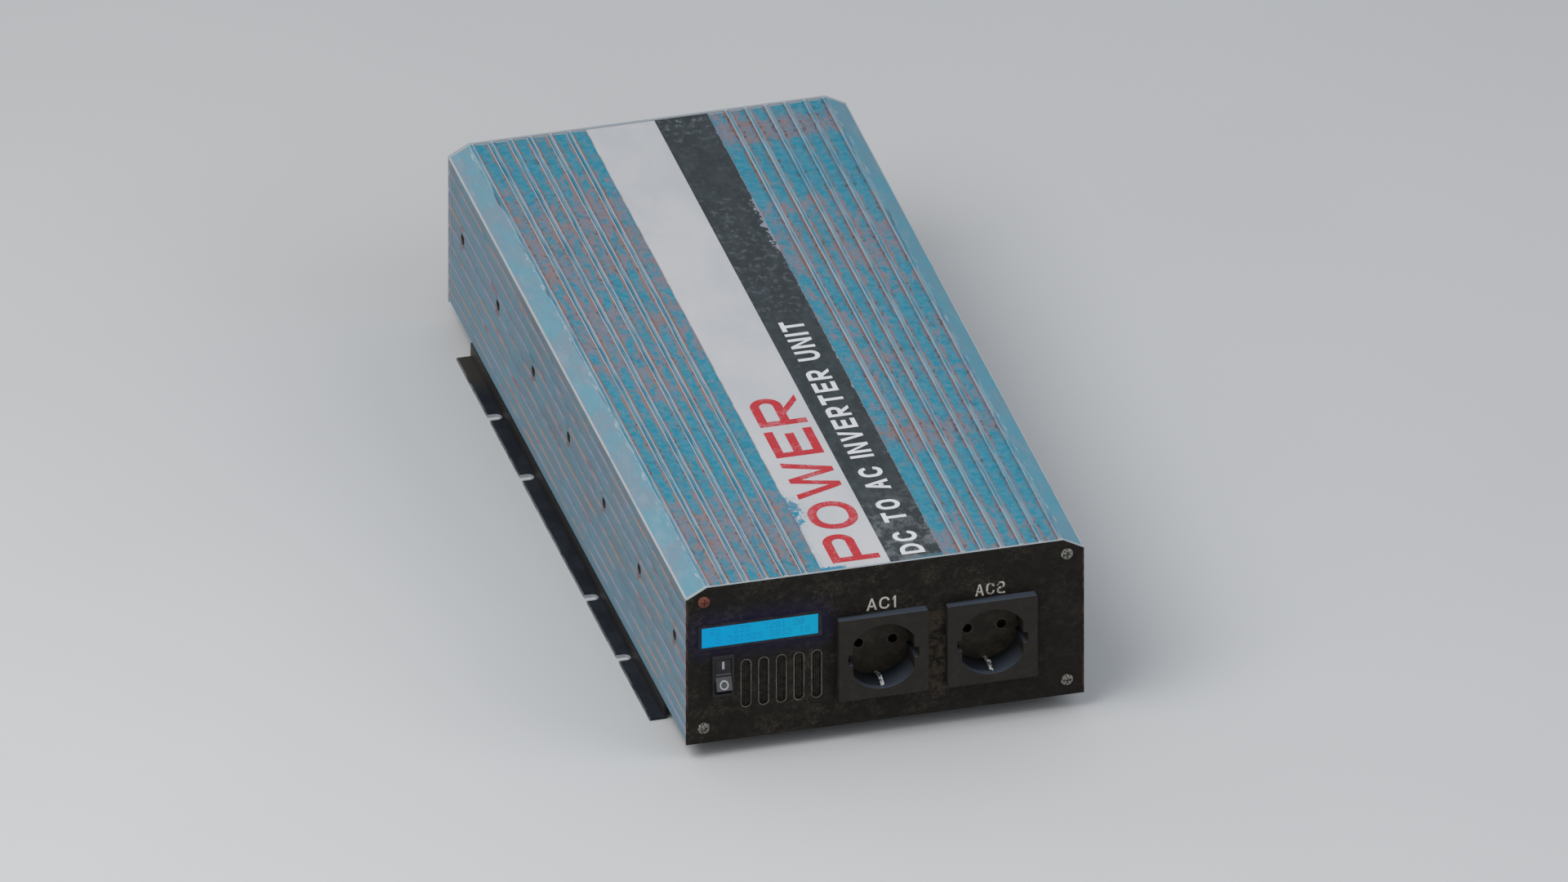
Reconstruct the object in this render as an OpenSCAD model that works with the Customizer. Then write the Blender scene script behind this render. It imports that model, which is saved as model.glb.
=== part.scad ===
// Power inverter: a ribbed aluminium case standing on a flanged mounting tray, with a display,
// a rocker switch, vents and two mains sockets in front, and two fans and two battery studs behind.
// +Z is up and -Y is the front. The origin is on the surface that the tray stands on, under the
// middle of the whole object. Modules work in case coordinates: x and y from the middle of the
// case, z from its underside. in_case() moves them to the object's own frame.

/* [Case] */
// Width of the case
case_w = 220; // [216:1:240]
// Length of the case over both end panels
case_l = 492; // [480:1:540]
// Height of the case above the tray
case_h = 95.5; // [95:0.5:104]
// Width of the bevel along each top edge
bevel_w = 11.5; // [10:0.5:13]
// Height of that bevel
bevel_h = 6.3; // [5.5:0.1:7]
// Thickness of the side walls
wall_t = 3; // [2.5:0.5:3.5]
// Thickness of the roof between two ribs
roof_t = 2.6; // [2:0.1:3]
// Thickness of the two end panels
panel_t = 1.5; // [1.2:0.1:2]
// Thickness of the bottom plate
plate_t = 2; // [1.5:0.1:2.5]

/* [Ribs] */
// Width of a cooling rib
rib_w = 2.4; // [2:0.1:3]
// Height of a cooling rib
rib_h = 0.8; // [0.5:0.1:1]
// Distance between two roof ribs
rib_pitch = 10.8; // [10:0.1:11]
// Number of roof ribs on each side of the labels
ribs_each_side = 6; // [3:1:6]

/* [Mounting tray] */
// Length of the tray
tray_l = 399; // [380:1:420]
// Height of the tray
tray_h = 9.7; // [9:0.1:14]
// Thickness of its sheet
tray_t = 1.5; // [1.2:0.1:2]
// How far each flange stands out from the case
flange_w = 7.8; // [7.5:0.1:14]
// Width of a fixing notch in the flange
notch_w = 5; // [4:0.5:6]
// Depth of a fixing notch
notch_depth = 6.5; // [5:0.5:7]
// Distance between two notches, of which the middle one is left out
notch_pitch = 66.5; // [60:0.5:70]

/* [Labels] */
// Left edge of the light label
light_label_x = -34.4; // [-38:0.1:-20]
// Line where the light label meets the dark one
label_split_x = 3.7; // [-5:0.1:10]
// Right edge of the dark label
dark_label_x = 33.2; // [20:0.1:38]
// Thickness of the label film
label_t = 0.25; // [0.2:0.05:0.5]

/* [Display] */
// Middle of the display across the panel
display_x = -69.7; // [-69.7:0.1:-69]
// Middle of the display above the case's underside
display_z = 65.4; // [65.4:0.1:67]
// Width of the display's frame
display_w = 68.4; // [66:0.1:68.4]
// Height of the display's frame
display_h = 14.6; // [14:0.1:15.5]
// How far the frame stands out of the panel
display_proud = 1.95; // [1.5:0.05:2.5]

/* [Rocker switch] */
// Middle of the switch across the panel
switch_x = -90; // [-92:0.5:-89]
// Middle of the switch above the case's underside
switch_z = 40.4; // [38:0.1:41]
// Width of its bezel
switch_w = 12; // [12:0.1:13]
// Height of its bezel
switch_h = 24.5; // [24.5:0.1:25]
// Angle from one position to the other
rocker_swing = 22; // [16:1:22]

/* [Vents] */
// Number of vent slots
vent_count = 5; // [3:1:5]
// Middle of the first slot across the panel
vent_x = -76.95; // [-77:0.05:-76]
// Middle of the slots above the case's underside
vent_z = 33.5; // [30:0.5:35]
// Distance between two slots
vent_pitch = 9.75; // [9:0.05:10]
// Width of a slot
vent_w = 5; // [4:0.5:6]
// Height of a slot
vent_h = 28.7; // [20:0.1:32]

/* [Sockets] */
// Middle of each socket across the panel
socket_xs = [-2.1, 58.1];
// Middle of the sockets above the case's underside
socket_z = 41.75; // [40:0.25:44]
// Width and height of a socket's face plate
socket_w = 49.7; // [49:0.1:50]
// How far a face plate stands out of the panel
socket_proud = 5.2; // [5:0.1:6]
// Width of the round plug recess
recess_w = 39.4; // [39:0.1:40]
// Depth of the plug recess
recess_depth = 17.5; // [16:0.5:18]
// Distance between the two flat sides of the recess
recess_flats = 34; // [33:0.5:36]
// Distance between the two pin holes
pin_pitch = 19; // [19:0.1:19.1]
// Width of a pin hole
pin_hole_w = 5.2; // [5:0.1:5.4]

/* [Fans] */
// Distance of each fan from the middle of the case
fan_x = 33; // [32:0.5:34]
// Middle of the fans above the case's underside
fan_z = 50; // [48:0.5:52]
// Width and height of a fan
fan_w = 60; // [58:0.5:62]
// Depth of a fan
fan_t = 25; // [25:1:28]
// Number of blades
blade_count = 7; // [5:1:9]

/* [Battery studs] */
// Distance of each stud from the middle of the case
stud_x = 83; // [82:0.5:84]
// Middle of the studs above the case's underside
stud_z = 38; // [34:0.5:44]
// Width of a stud's thread
stud_w = 8; // [6:0.5:8]
// How far a stud reaches behind the rear panel
stud_out = 28; // [26:1:34]

/* [Hidden] */
$fn = 48;

// Places that several modules share
half_w = case_w / 2;
valley_x = half_w - rib_h;
inner_x = valley_x - wall_t;
roof_z = case_h - rib_h - roof_t;
front_y = -case_l / 2;
rear_y = case_l / 2;
shell_front_y = front_y + panel_t;
shell_rear_y = rear_y - panel_t;
middle_y = (socket_proud - stud_out) / 2;
side_rib_zs = [6.9, 15.1, 25, 35.4, 47.3, 58.5, 68.9, 79.4];
side_screw_z = 53;
side_screw_pitch = 72.9;
side_screw_ys = [for (i = [-3:3]) i * side_screw_pitch];
panel_screw_x = half_w - 9.6;
panel_screw_zs = [9.5, case_h - 8.5];
ledge_w = 7;
ledge_t = 2.5;
base_screw_x = inner_x - ledge_w / 2;
tray_screw_ys = [-180, -60, 60, 180];
end_screw_ys = [-234, 234];
notch_ys = [-2, -1, 1, 2] * notch_pitch;
fan_pitch = fan_w - 10;

// Clearances: between a screw and its hole, between fixed pieces and round a moving piece
screw_gap = 0.05;
fit_gap = 0.1;
swing_gap = 0.3;
through = 1;

module in_case() {
    translate([0, middle_y, tray_h]) children();
}

// An outline in x and z, extruded from y0 to y1
module along_y(y0, y1) {
    translate([0, y1, 0]) rotate([90, 0, 0]) linear_extrude(height = y1 - y0) children();
}

// A round bar or hole from a point, pointing backwards or to the right
module bar_y(x, y0, z, r, len) {
    translate([x, y0, z]) rotate([-90, 0, 0]) cylinder(r = r, h = len);
}

module bar_x(x0, y, z, r, len) {
    translate([x0, y, z]) rotate([0, 90, 0]) cylinder(r = r, h = len);
}

// A block given by its corner and size
module block(corner, size) {
    translate(corner) cube(size);
}

// A rectangle centred on the origin with round corners
module rounded_square(w, h, r) {
    square([w - 2 * r, h], center = true);
    square([w, h - 2 * r], center = true);
    for (sx = [-1, 1], sz = [-1, 1])
        translate([sx * (w / 2 - r), sz * (h / 2 - r)]) circle(r = r);
}

// A ring standing on the origin
module ring(outer_r, inner_r, h) {
    difference() {
        cylinder(r = outer_r, h = h);
        translate([0, 0, -through]) cylinder(r = inner_r, h = h + 2 * through);
    }
}

// A nut standing on the origin
module nut(across, inner_r, h) {
    difference() {
        cylinder(r = across / 2 / cos(30), h = h, $fn = 6);
        translate([0, 0, -through]) cylinder(r = inner_r, h = h + 2 * through);
    }
}

// A screw with a domed, cross-recessed head above the origin and its shank below
module screw(head_r, head_h, shank_r, shank_len) {
    dome = head_h * 0.6;
    dome_r = (head_r * head_r + dome * dome) / (2 * dome);
    slot_w = head_r * 0.26;
    slot_len = head_r * 1.1;
    difference() {
        intersection() {
            cylinder(r = head_r, h = head_h);
            translate([0, 0, head_h - dome_r]) sphere(r = dome_r);
        }
        for (turn = [0, 90]) rotate([0, 0, turn])
            translate([0, 0, head_h])
                cube([slot_len, slot_w, head_h], center = true);
    }
    translate([0, 0, -shank_len]) cylinder(r = shank_r, h = shank_len + head_h * 0.2);
}

// The same outline continued on the left, as mirrored points
function both_sides(right) =
    concat(right, [for (i = [len(right) - 1:-1:0]) [-right[i][0], right[i][1]]]);

// ---- Case ----

module shell_outline() {
    bead = 1.2;
    rib_edge_x = half_w - bevel_w;
    polygon(both_sides([
        [valley_x, 0],
        [valley_x, case_h - bevel_h - bead],
        [half_w, case_h - bevel_h - bead],
        [half_w, case_h - bevel_h],
        [rib_edge_x, case_h],
        [rib_edge_x - rib_w, case_h],
        [rib_edge_x - rib_w, case_h - rib_h],
    ]));
}

module shell_cavity() {
    polygon(both_sides([
        [inner_x, -through],
        [inner_x, case_h - bevel_h - wall_t],
        [half_w - bevel_w - 2, roof_z],
    ]));
}

module shell_ribs() {
    root = 0.5;
    for (side = [-1, 1]) {
        for (i = [1:ribs_each_side - 1])
            translate([side * (half_w - bevel_w - rib_w / 2 - i * rib_pitch) - rib_w / 2,
                case_h - rib_h - root])
                square([rib_w, rib_h + root]);
        for (z = side_rib_zs)
            translate([side * (half_w - (rib_h + root) / 2), z])
                square([rib_h + root, rib_w], center = true);
    }
}

// Where the end panels' screws go: four open channels along the case
module screw_channels(boss_r) {
    for (side = [-1, 1], z = panel_screw_zs) translate([side * panel_screw_x, z]) {
        circle(r = boss_r);
        translate([side * (inner_x - panel_screw_x + 0.5) / 2, 0])
            square([inner_x - panel_screw_x + 0.5, 3], center = true);
    }
}

module screw_channel_bores(bore_r) {
    slot_len = 5;
    slot_w = 1.6;
    for (side = [-1, 1], z = panel_screw_zs) translate([side * panel_screw_x, z]) {
        circle(r = bore_r);
        translate([-side * slot_len / 2, 0]) square([slot_len, slot_w], center = true);
    }
}

module shell_section() {
    difference() {
        union() {
            difference() {
                shell_outline();
                shell_cavity();
            }
            shell_ribs();
            screw_channels(3.6);
            for (side = [-1, 1])
                translate([side * (inner_x - ledge_w / 2), plate_t + ledge_t / 2])
                    square([ledge_w + 1, ledge_t], center = true);
        }
        screw_channel_bores(1.75);
    }
}

module case_shell() color("steelblue") in_case() {
    sink_r = 3.1;
    sink_depth = 1.7;
    hole_r = 1.9;
    difference() {
        along_y(shell_front_y, shell_rear_y) shell_section();
        for (y = side_screw_ys) {
            bar_x(-half_w - through, y, side_screw_z, hole_r, case_w + 2 * through);
            for (side = [-1, 1])
                translate([side * (valley_x - sink_depth), y, side_screw_z])
                    rotate([0, side * 90, 0]) cylinder(r = sink_r, h = sink_depth + rib_h + through);
        }
        for (side = [-1, 1], y = concat(tray_screw_ys, end_screw_ys))
            translate([side * base_screw_x, y, plate_t - through])
                cylinder(r = base_shank_r + screw_gap, h = ledge_t + 2 * through);
    }
}

base_shank_r = 1.95;
base_head_r = 3.5;
base_head_h = 2.2;

module base_screw_holes(ys, h) {
    hole_r = 2.2;
    for (side = [-1, 1], y = ys)
        translate([side * base_screw_x, y, -through]) cylinder(r = hole_r, h = h);
}

module bottom_plate() color("dimgray") in_case() {
    foot_hole_r = 1.55;
    difference() {
        block([-inner_x + swing_gap, shell_front_y, 0],
            [2 * (inner_x - swing_gap), shell_rear_y - shell_front_y, plate_t]);
        base_screw_holes(concat(tray_screw_ys, end_screw_ys), plate_t + 2 * through);
        at_standoffs() translate([0, 0, -through]) cylinder(r = foot_hole_r, h = plate_t + 2 * through);
    }
}

module mounting_tray() color("darkslategray") translate([0, middle_y, 0]) {
    notch_end_x = half_w + flange_w - notch_depth + notch_w / 2;
    difference() {
        along_y(-tray_l / 2, tray_l / 2) {
            translate([-half_w, tray_h - tray_t]) square([case_w, tray_t]);
            for (side = [-1, 1]) {
                translate([side * (half_w - tray_t / 2), tray_h / 2])
                    square([tray_t, tray_h], center = true);
                translate([side * (half_w + (flange_w - tray_t) / 2), tray_t / 2])
                    square([flange_w + tray_t, tray_t], center = true);
            }
        }
        for (side = [-1, 1], y = notch_ys) translate([side * notch_end_x, y, -through]) {
            cylinder(r = notch_w / 2, h = tray_t + 2 * through);
            translate([side * notch_depth / 2, 0, tray_t / 2 + through])
                cube([notch_depth, notch_w, tray_t + 2 * through], center = true);
        }
        translate([0, 0, tray_h - tray_t]) base_screw_holes(tray_screw_ys, tray_t + 2 * through);
    }
}

module base_screws() color("silver") in_case() for (side = [-1, 1]) {
    for (y = tray_screw_ys) translate([side * base_screw_x, y, -tray_t]) rotate([180, 0, 0])
        screw(base_head_r, base_head_h, base_shank_r, tray_t + plate_t + ledge_t);
    for (y = end_screw_ys) translate([side * base_screw_x, y, 0]) rotate([180, 0, 0])
        screw(base_head_r, base_head_h, base_shank_r, plate_t + ledge_t);
}

// ---- End panels ----

module panel_outline() {
    hole_r = 1.9;
    difference() {
        polygon(both_sides([
            [half_w, 0],
            [half_w, case_h - bevel_h],
            [half_w - bevel_w, case_h],
        ]));
        for (side = [-1, 1], z = panel_screw_zs)
            translate([side * panel_screw_x, z]) circle(r = hole_r);
    }
}

module panel_screw() {
    screw(3.3, 1.8, 1.7, 12);
}

module front_panel() color("#20201c") in_case() along_y(front_y, shell_front_y) difference() {
    panel_outline();
    translate([display_x, display_z]) square([display_w - 3.4, display_h - 1.8], center = true);
    translate([switch_x, switch_z])
        square([housing_w + 2 * fit_gap, housing_h + 2 * fit_gap], center = true);
    for (i = [0:vent_count - 1]) translate([vent_x + i * vent_pitch, vent_z]) {
        square([vent_w, vent_h - vent_w], center = true);
        for (end = [-1, 1])
            translate([0, end * (vent_h - vent_w) / 2]) circle(r = vent_w / 2);
    }
    for (x = socket_xs) translate([x, socket_z]) {
        circle(r = well_r + swing_gap);
        for (sx = [-1, 1], sz = [-1, 1])
            translate([sx, sz] * socket_fixing) circle(r = 1.7);
    }
}

module front_panel_screws() color("silver") in_case()
    for (side = [-1, 1], z = panel_screw_zs)
        translate([side * panel_screw_x, front_y, z]) rotate([90, 0, 0]) panel_screw();

module rear_panel() color("#20201c") in_case() along_y(shell_rear_y, rear_y) difference() {
    panel_outline();
    for (side = [-1, 1]) {
        translate([side * fan_x, fan_z]) {
            circle(r = fan_w / 2 - 2);
            for (sx = [-1, 1], sz = [-1, 1])
                translate([sx, sz] * fan_pitch / 2) circle(r = 2.1);
        }
        translate([side * stud_x, stud_z]) circle(r = neck_r + fit_gap);
    }
    translate([0, earth_z]) circle(r = earth_r + fit_gap);
}

module rear_panel_screws() color("silver") in_case()
    for (side = [-1, 1], z = panel_screw_zs)
        translate([side * panel_screw_x, rear_y, z]) rotate([-90, 0, 0]) panel_screw();

// The screws that clamp the heat bars to the side walls, sunk below the ribs
module side_screws(side) color("#3a3026") in_case() {
    head_r = 2.9;
    head_h = 1.5;
    sink_depth = 1.7;
    for (y = side_screw_ys)
        translate([side * (valley_x - sink_depth), y, side_screw_z]) rotate([0, side * 90, 0])
            screw(head_r, head_h, 1.65, wall_t - sink_depth + heat_bar_t);
}

module left_side_screws() side_screws(-1);

module right_side_screws() side_screws(1);

module label(x0, x1) in_case()
    block([x0, shell_front_y, case_h - rib_h], [x1 - x0, shell_rear_y - shell_front_y, label_t]);

module light_label() color("gainsboro") label(light_label_x, label_split_x);

module dark_label() color("#30404a") label(label_split_x, dark_label_x);

// ---- Display ----

display_recess = 0.5;
display_depth = 6;
display_board_size = [71, 1.6, 24];
display_board_y = front_y + display_depth;
window_w = display_w - 3.8;
window_h = display_h - 2.2;

module at_display_fixings() {
    for (sx = [-1, 1], sz = [-1, 1])
        translate([display_x + sx * 33, display_z + sz * 9.8]) children();
}

module display_frame() color("#2c2a32") in_case() along_y(front_y - display_proud, front_y)
    translate([display_x, display_z]) difference() {
        square([display_w, display_h], center = true);
        square([window_w, window_h], center = true);
    }

module display_module() color("deepskyblue") in_case()
    along_y(front_y - display_proud + display_recess, display_board_y)
        translate([display_x, display_z])
            square([window_w, window_h] - [2, 2] * fit_gap, center = true);

module display_board() color("darkgreen") in_case()
    along_y(display_board_y, display_board_y + display_board_size[1]) difference() {
        translate([display_x, display_z])
            square([display_board_size[0], display_board_size[2]], center = true);
        at_display_fixings() circle(r = 1.4);
    }

module display_standoffs() color("silver") in_case()
    along_y(shell_front_y, display_board_y) at_display_fixings() difference() {
        circle(r = 2.5);
        circle(r = 1.3);
    }

module display_screws() color("silver") in_case()
    rotate([90, 0, 0]) translate([0, 0, -display_board_y - display_board_size[1]])
        at_display_fixings() rotate([180, 0, 0]) screw(2.3, 1.4, 1.2, 5);

// ---- Rocker switch ----

switch_proud = 2;
housing_w = switch_w - 1.3;
housing_h = switch_h - 1.5;
housing_depth = 18;
cavity_w = housing_w - 1.5;
cavity_h = housing_h - 1.8;
rocker_w = cavity_w - 2 * swing_gap;
rocker_r = cavity_h / 2 - swing_gap;
// The rocker's axis lies a little behind the panel's face
pivot_y = front_y + 2.5;
pivot_pin_r = 1.25;
pivot_gap = 0.07;
terminal_size = [0.8, 12, 4.8];
terminal_pitch = 7.5;

module switch_housing() color("#26262a") in_case() difference() {
    union() {
        block([switch_x - switch_w / 2, front_y - switch_proud, switch_z - switch_h / 2],
            [switch_w, switch_proud, switch_h]);
        block([switch_x - housing_w / 2, front_y - 0.5, switch_z - housing_h / 2],
            [housing_w, housing_depth + 0.5, housing_h]);
    }
    block([switch_x - cavity_w / 2, front_y - switch_proud - through, switch_z - cavity_h / 2],
        [cavity_w, housing_depth + switch_proud + through - 3, cavity_h]);
    bar_x(switch_x - housing_w, pivot_y, switch_z, pivot_pin_r + pivot_gap, 2 * housing_w);
    for (i = [-1:1]) translate([switch_x, front_y + housing_depth, switch_z + i * terminal_pitch])
        cube([terminal_size[0], 10, terminal_size[2]] + [2, 0, 2] * screw_gap, center = true);
}

// The rocker in its middle position, seen from the left: a disc about the axis with a
// shallow vee for its two touch faces and a flat back
module rocker_section() {
    face = 4.2;
    back = 5;
    vee = rocker_swing / 2;
    difference() {
        circle(r = rocker_r);
        translate([back, -rocker_r]) square([rocker_r, 2 * rocker_r]);
        for (half = [0, 1]) mirror([0, half]) translate([-face, 0]) rotate([0, 0, vee])
            translate([-rocker_r, -through]) square([rocker_r, 2 * rocker_r]);
    }
}

module switch_rocker() color("#34343a") in_case()
    translate([switch_x, pivot_y, switch_z]) rotate([-rocker_swing / 2, 0, 0]) {
        rotate([90, 0, 90]) translate([0, 0, -rocker_w / 2])
            linear_extrude(height = rocker_w) rocker_section();
        bar_x(-housing_w / 2 + fit_gap, 0, 0, pivot_pin_r, housing_w - 2 * fit_gap);
    }

module switch_terminals() color("gold") in_case()
    for (i = [-1:1]) translate([switch_x, front_y + housing_depth + 3.1,
        switch_z + i * terminal_pitch]) cube(terminal_size, center = true);

// ---- Sockets ----

well_r = 22;
well_depth = 30;
socket_fixing = 20.5;
recess_y = front_y - socket_proud + recess_depth;
pin_wall = 5;
contact_r = 3.6;
clip_w = 2;
clip_t = 0.8;

module recess_outline() {
    guide_h = 6.4;
    intersection() {
        circle(r = recess_w / 2);
        union() {
            square([recess_flats, recess_w + through], center = true);
            square([recess_w + through, guide_h], center = true);
        }
    }
}

// An earth spring seen from the side, above the middle of the recess: it is bowed towards
// the plug, and its tail passes through the floor. x is the distance behind the panel's face.
module clip_outline() {
    tail_x = recess_depth - socket_proud + 12;
    floor_x = recess_depth - socket_proud;
    lip_x = -socket_proud + 2.5;
    bow_x = 3.5;
    outer = recess_w / 2 - 0.4;
    bow = 2.2;
    polygon([[tail_x, outer], [floor_x - 1, outer], [bow_x, outer - bow], [lip_x, outer],
        [lip_x, outer - clip_t], [bow_x, outer - bow - clip_t], [floor_x - 1, outer - clip_t],
        [tail_x, outer - clip_t]]);
}

module socket_body(x) color("#2b2826") in_case() {
    fixing_depth = 3.8;
    difference() {
        union() {
            along_y(front_y - socket_proud, front_y) translate([x, socket_z])
                rounded_square(socket_w, socket_w, 1);
            bar_y(x, front_y - 0.5, socket_z, well_r, well_depth + 0.5);
        }
        along_y(front_y - socket_proud - through, recess_y)
            translate([x, socket_z]) recess_outline();
        for (side = [-1, 1]) {
            pin_x = x + side * pin_pitch / 2;
            bar_y(pin_x, recess_y - through, socket_z, pin_hole_w / 2, pin_wall + 2 * through);
            bar_y(pin_x, recess_y + pin_wall, socket_z, contact_r + fit_gap, well_depth);
            translate([x, front_y + well_depth / 2 + through, socket_z
                + side * (recess_w / 2 - 0.4 - clip_t / 2)])
                cube([clip_w + 0.4, well_depth, clip_t + 0.2], center = true);
            for (sz = [-1, 1]) bar_y(x + side * socket_fixing, front_y - fixing_depth,
                socket_z + sz * socket_fixing, 1.5, fixing_depth + through);
        }
    }
}

module socket_earth_clips(x) color("silver") in_case()
    for (half = [0, 1]) translate([x - clip_w / 2, front_y, socket_z]) mirror([0, 0, half])
        rotate([90, 0, 90]) linear_extrude(height = clip_w) clip_outline();

// Sprung sleeves behind the pin holes, each with a tab for its lead
module socket_contacts(x) color("gold") in_case() for (side = [-1, 1])
    translate([x + side * pin_pitch / 2, recess_y + pin_wall + fit_gap, socket_z])
        rotate([-90, 0, 0]) {
            ring(contact_r, pin_hole_w / 2, 14);
            translate([-1.5, 2.5, 12]) cube([3, 0.8, 12]);
        }

module socket_1_body() socket_body(socket_xs[0]);

module socket_2_body() socket_body(socket_xs[1]);

module socket_1_earth_clips() socket_earth_clips(socket_xs[0]);

module socket_2_earth_clips() socket_earth_clips(socket_xs[1]);

module socket_1_contacts() socket_contacts(socket_xs[0]);

module socket_2_contacts() socket_contacts(socket_xs[1]);

module socket_screws() color("silver") in_case()
    for (x = socket_xs, sx = [-1, 1], sz = [-1, 1])
        translate([x + sx * socket_fixing, shell_front_y, socket_z + sz * socket_fixing])
            rotate([-90, 0, 0]) screw(2.7, 1.6, 1.45, 5);

// ---- Fans, drawn along z from their inner face and then turned to blow backwards ----

fan_bore_r = fan_w / 2 - 1.8;
hub_r = 14.5;
boss_r = 4;
boss_h = 12;
shaft_r = 1.5;
shaft_gap = 0.05;
guard_lift = 2.5;
guard_t = 1.6;

module at_fan(side) {
    in_case() translate([side * fan_x, shell_rear_y - fan_t, fan_z]) rotate([-90, 0, 0]) children();
}

module at_fan_corners() {
    for (sx = [-1, 1], sy = [-1, 1]) translate([sx, sy] * fan_pitch / 2) children();
}

module fan_frame(side) color("#1c1c1e") at_fan(side) {
    flange_t = 4;
    base_t = 3;
    difference() {
        union() {
            for (z = [0, fan_t - flange_t]) translate([0, 0, z]) linear_extrude(height = flange_t)
                rounded_square(fan_w, fan_w, 4);
            cylinder(r = fan_bore_r + 1.5, h = fan_t);
        }
        translate([0, 0, -through]) cylinder(r = fan_bore_r, h = fan_t + 2 * through);
        translate([0, 0, -through]) linear_extrude(height = fan_t + 2 * through)
            at_fan_corners() circle(r = 2.2);
    }
    difference() {
        union() {
            cylinder(r = hub_r + 0.5, h = base_t);
            cylinder(r = boss_r, h = boss_h);
            for (turn = [20:90:290]) rotate([0, 0, turn])
                translate([hub_r, -1.5, 0]) cube([fan_bore_r - hub_r + 0.7, 3, base_t]);
        }
        translate([0, 0, -through]) cylinder(r = shaft_r + shaft_gap, h = boss_h + 2 * through);
    }
}

module fan_rotor(side) color("#2a2a2c") at_fan(side) {
    hub_z = 5;
    hub_h = 17.5;
    cap_t = 2;
    blade_chord = 17;
    blade_t = 1.4;
    pitch = 40;
    difference() {
        union() {
            translate([0, 0, hub_z]) cylinder(r = hub_r, h = hub_h);
            intersection() {
                translate([0, 0, hub_z]) cylinder(r = fan_bore_r - 0.7, h = hub_h);
                for (i = [0:blade_count - 1]) rotate([0, 0, i * 360 / blade_count])
                    translate([12, 0, hub_z + hub_h / 2]) rotate([pitch, 0, 0])
                        translate([0, -blade_chord / 2, -blade_t / 2])
                            cube([fan_w / 2, blade_chord, blade_t]);
            }
        }
        translate([0, 0, hub_z - through])
            cylinder(r = hub_r - 1.5, h = hub_h - cap_t + through);
    }
    translate([0, 0, 1]) cylinder(r = shaft_r, h = hub_z + hub_h - 1.5);
}

module fan_guard(side) color("silver") at_fan(side) translate([0, 0, fan_t + panel_t]) {
    wire_w = 1.6;
    difference() {
        union() {
            translate([0, 0, guard_lift]) linear_extrude(height = guard_t) {
                for (r = [9, 16, 23, 29.5]) difference() {
                    circle(r = r + wire_w / 2);
                    circle(r = r - wire_w / 2);
                }
                circle(r = 3);
                for (turn = [45, 135]) rotate([0, 0, turn])
                    square([fan_pitch * sqrt(2), wire_w], center = true);
            }
            linear_extrude(height = guard_lift + guard_t) at_fan_corners() circle(r = 4);
        }
        translate([0, 0, -through]) linear_extrude(height = guard_lift + guard_t + 2 * through)
            at_fan_corners() circle(r = 2.1);
    }
}

module left_fan_frame() fan_frame(-1);

module right_fan_frame() fan_frame(1);

module left_fan_rotor() fan_rotor(-1);

module right_fan_rotor() fan_rotor(1);

module left_fan_guard() fan_guard(-1);

module right_fan_guard() fan_guard(1);

module fan_stators() color("orangered") for (side = [-1, 1]) at_fan(side)
    translate([0, 0, 3.1]) ring(11, boss_r + screw_gap, 10);

module fan_screws() color("silver") for (side = [-1, 1]) at_fan(side)
    translate([0, 0, fan_t + panel_t + guard_lift + guard_t])
        at_fan_corners() screw(3.5, 2.2, 1.9, 20);

// ---- Battery studs and earth stud, drawn along z from the rear panel's outer face ----

neck_r = 6.4;
collar_t = 8;
bush_t = 3;
bar_t = 3;
washer_t = 1.5;
stud_nut_h = 6.5;
stud_hole_r = stud_w / 2 + screw_gap;
earth_z = 12;
earth_r = 2.5;
earth_out = 16;
earth_washer_t = 1;
earth_nut_h = 4;

module at_stud(side) {
    in_case() translate([side * stud_x, rear_y, stud_z]) rotate([-90, 0, 0]) children();
}

module stud_insulator(side) at_stud(side) difference() {
    union() {
        cylinder(r = 13, h = collar_t - 2);
        cylinder(r = 10.5, h = collar_t);
        translate([0, 0, -panel_t]) cylinder(r = neck_r, h = panel_t + 1);
    }
    translate([0, 0, -panel_t - through])
        cylinder(r = stud_hole_r, h = panel_t + collar_t + 2 * through);
}

module positive_insulator() color("firebrick") stud_insulator(1);

module negative_insulator() color("#222222") stud_insulator(-1);

// A stud from z0 to z1, with a relief groove behind the nut's face and a bevelled tip
module stud(r, z0, nut_face, z1) {
    groove_w = 1;
    groove_depth = 0.5;
    tip = 0.8;
    difference() {
        union() {
            translate([0, 0, z0]) cylinder(r = r, h = z1 - tip - z0);
            translate([0, 0, z1 - tip]) cylinder(r1 = r, r2 = r - tip, h = tip);
        }
        translate([0, 0, nut_face]) ring(r + through, r - groove_depth, groove_w);
    }
}

module battery_studs() color("goldenrod") for (side = [-1, 1]) at_stud(side)
    stud(stud_w / 2, -17, collar_t + washer_t + stud_nut_h, stud_out);

module stud_nuts() color("goldenrod") for (side = [-1, 1]) at_stud(side)
    for (z = [collar_t + washer_t, -panel_t - bush_t - bar_t - stud_nut_h])
        translate([0, 0, z]) nut(13, stud_hole_r, stud_nut_h);

module stud_washers() color("silver") for (side = [-1, 1]) at_stud(side)
    translate([0, 0, collar_t]) ring(8.5, stud_hole_r, washer_t);

module stud_bushes() color("#222222") for (side = [-1, 1]) at_stud(side)
    translate([0, 0, -panel_t - bush_t]) ring(11, stud_hole_r, bush_t);

module at_earth() {
    in_case() translate([0, rear_y, earth_z]) rotate([-90, 0, 0]) children();
}

module earth_stud() color("silver") at_earth()
    stud(earth_r, -8, earth_washer_t + earth_nut_h, earth_out);

module earth_nuts() color("silver") at_earth() {
    ring(5.5, earth_r + screw_gap, earth_washer_t);
    for (z = [earth_washer_t, -panel_t - earth_nut_h])
        translate([0, 0, z]) nut(8, earth_r + screw_gap, earth_nut_h);
}

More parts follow.
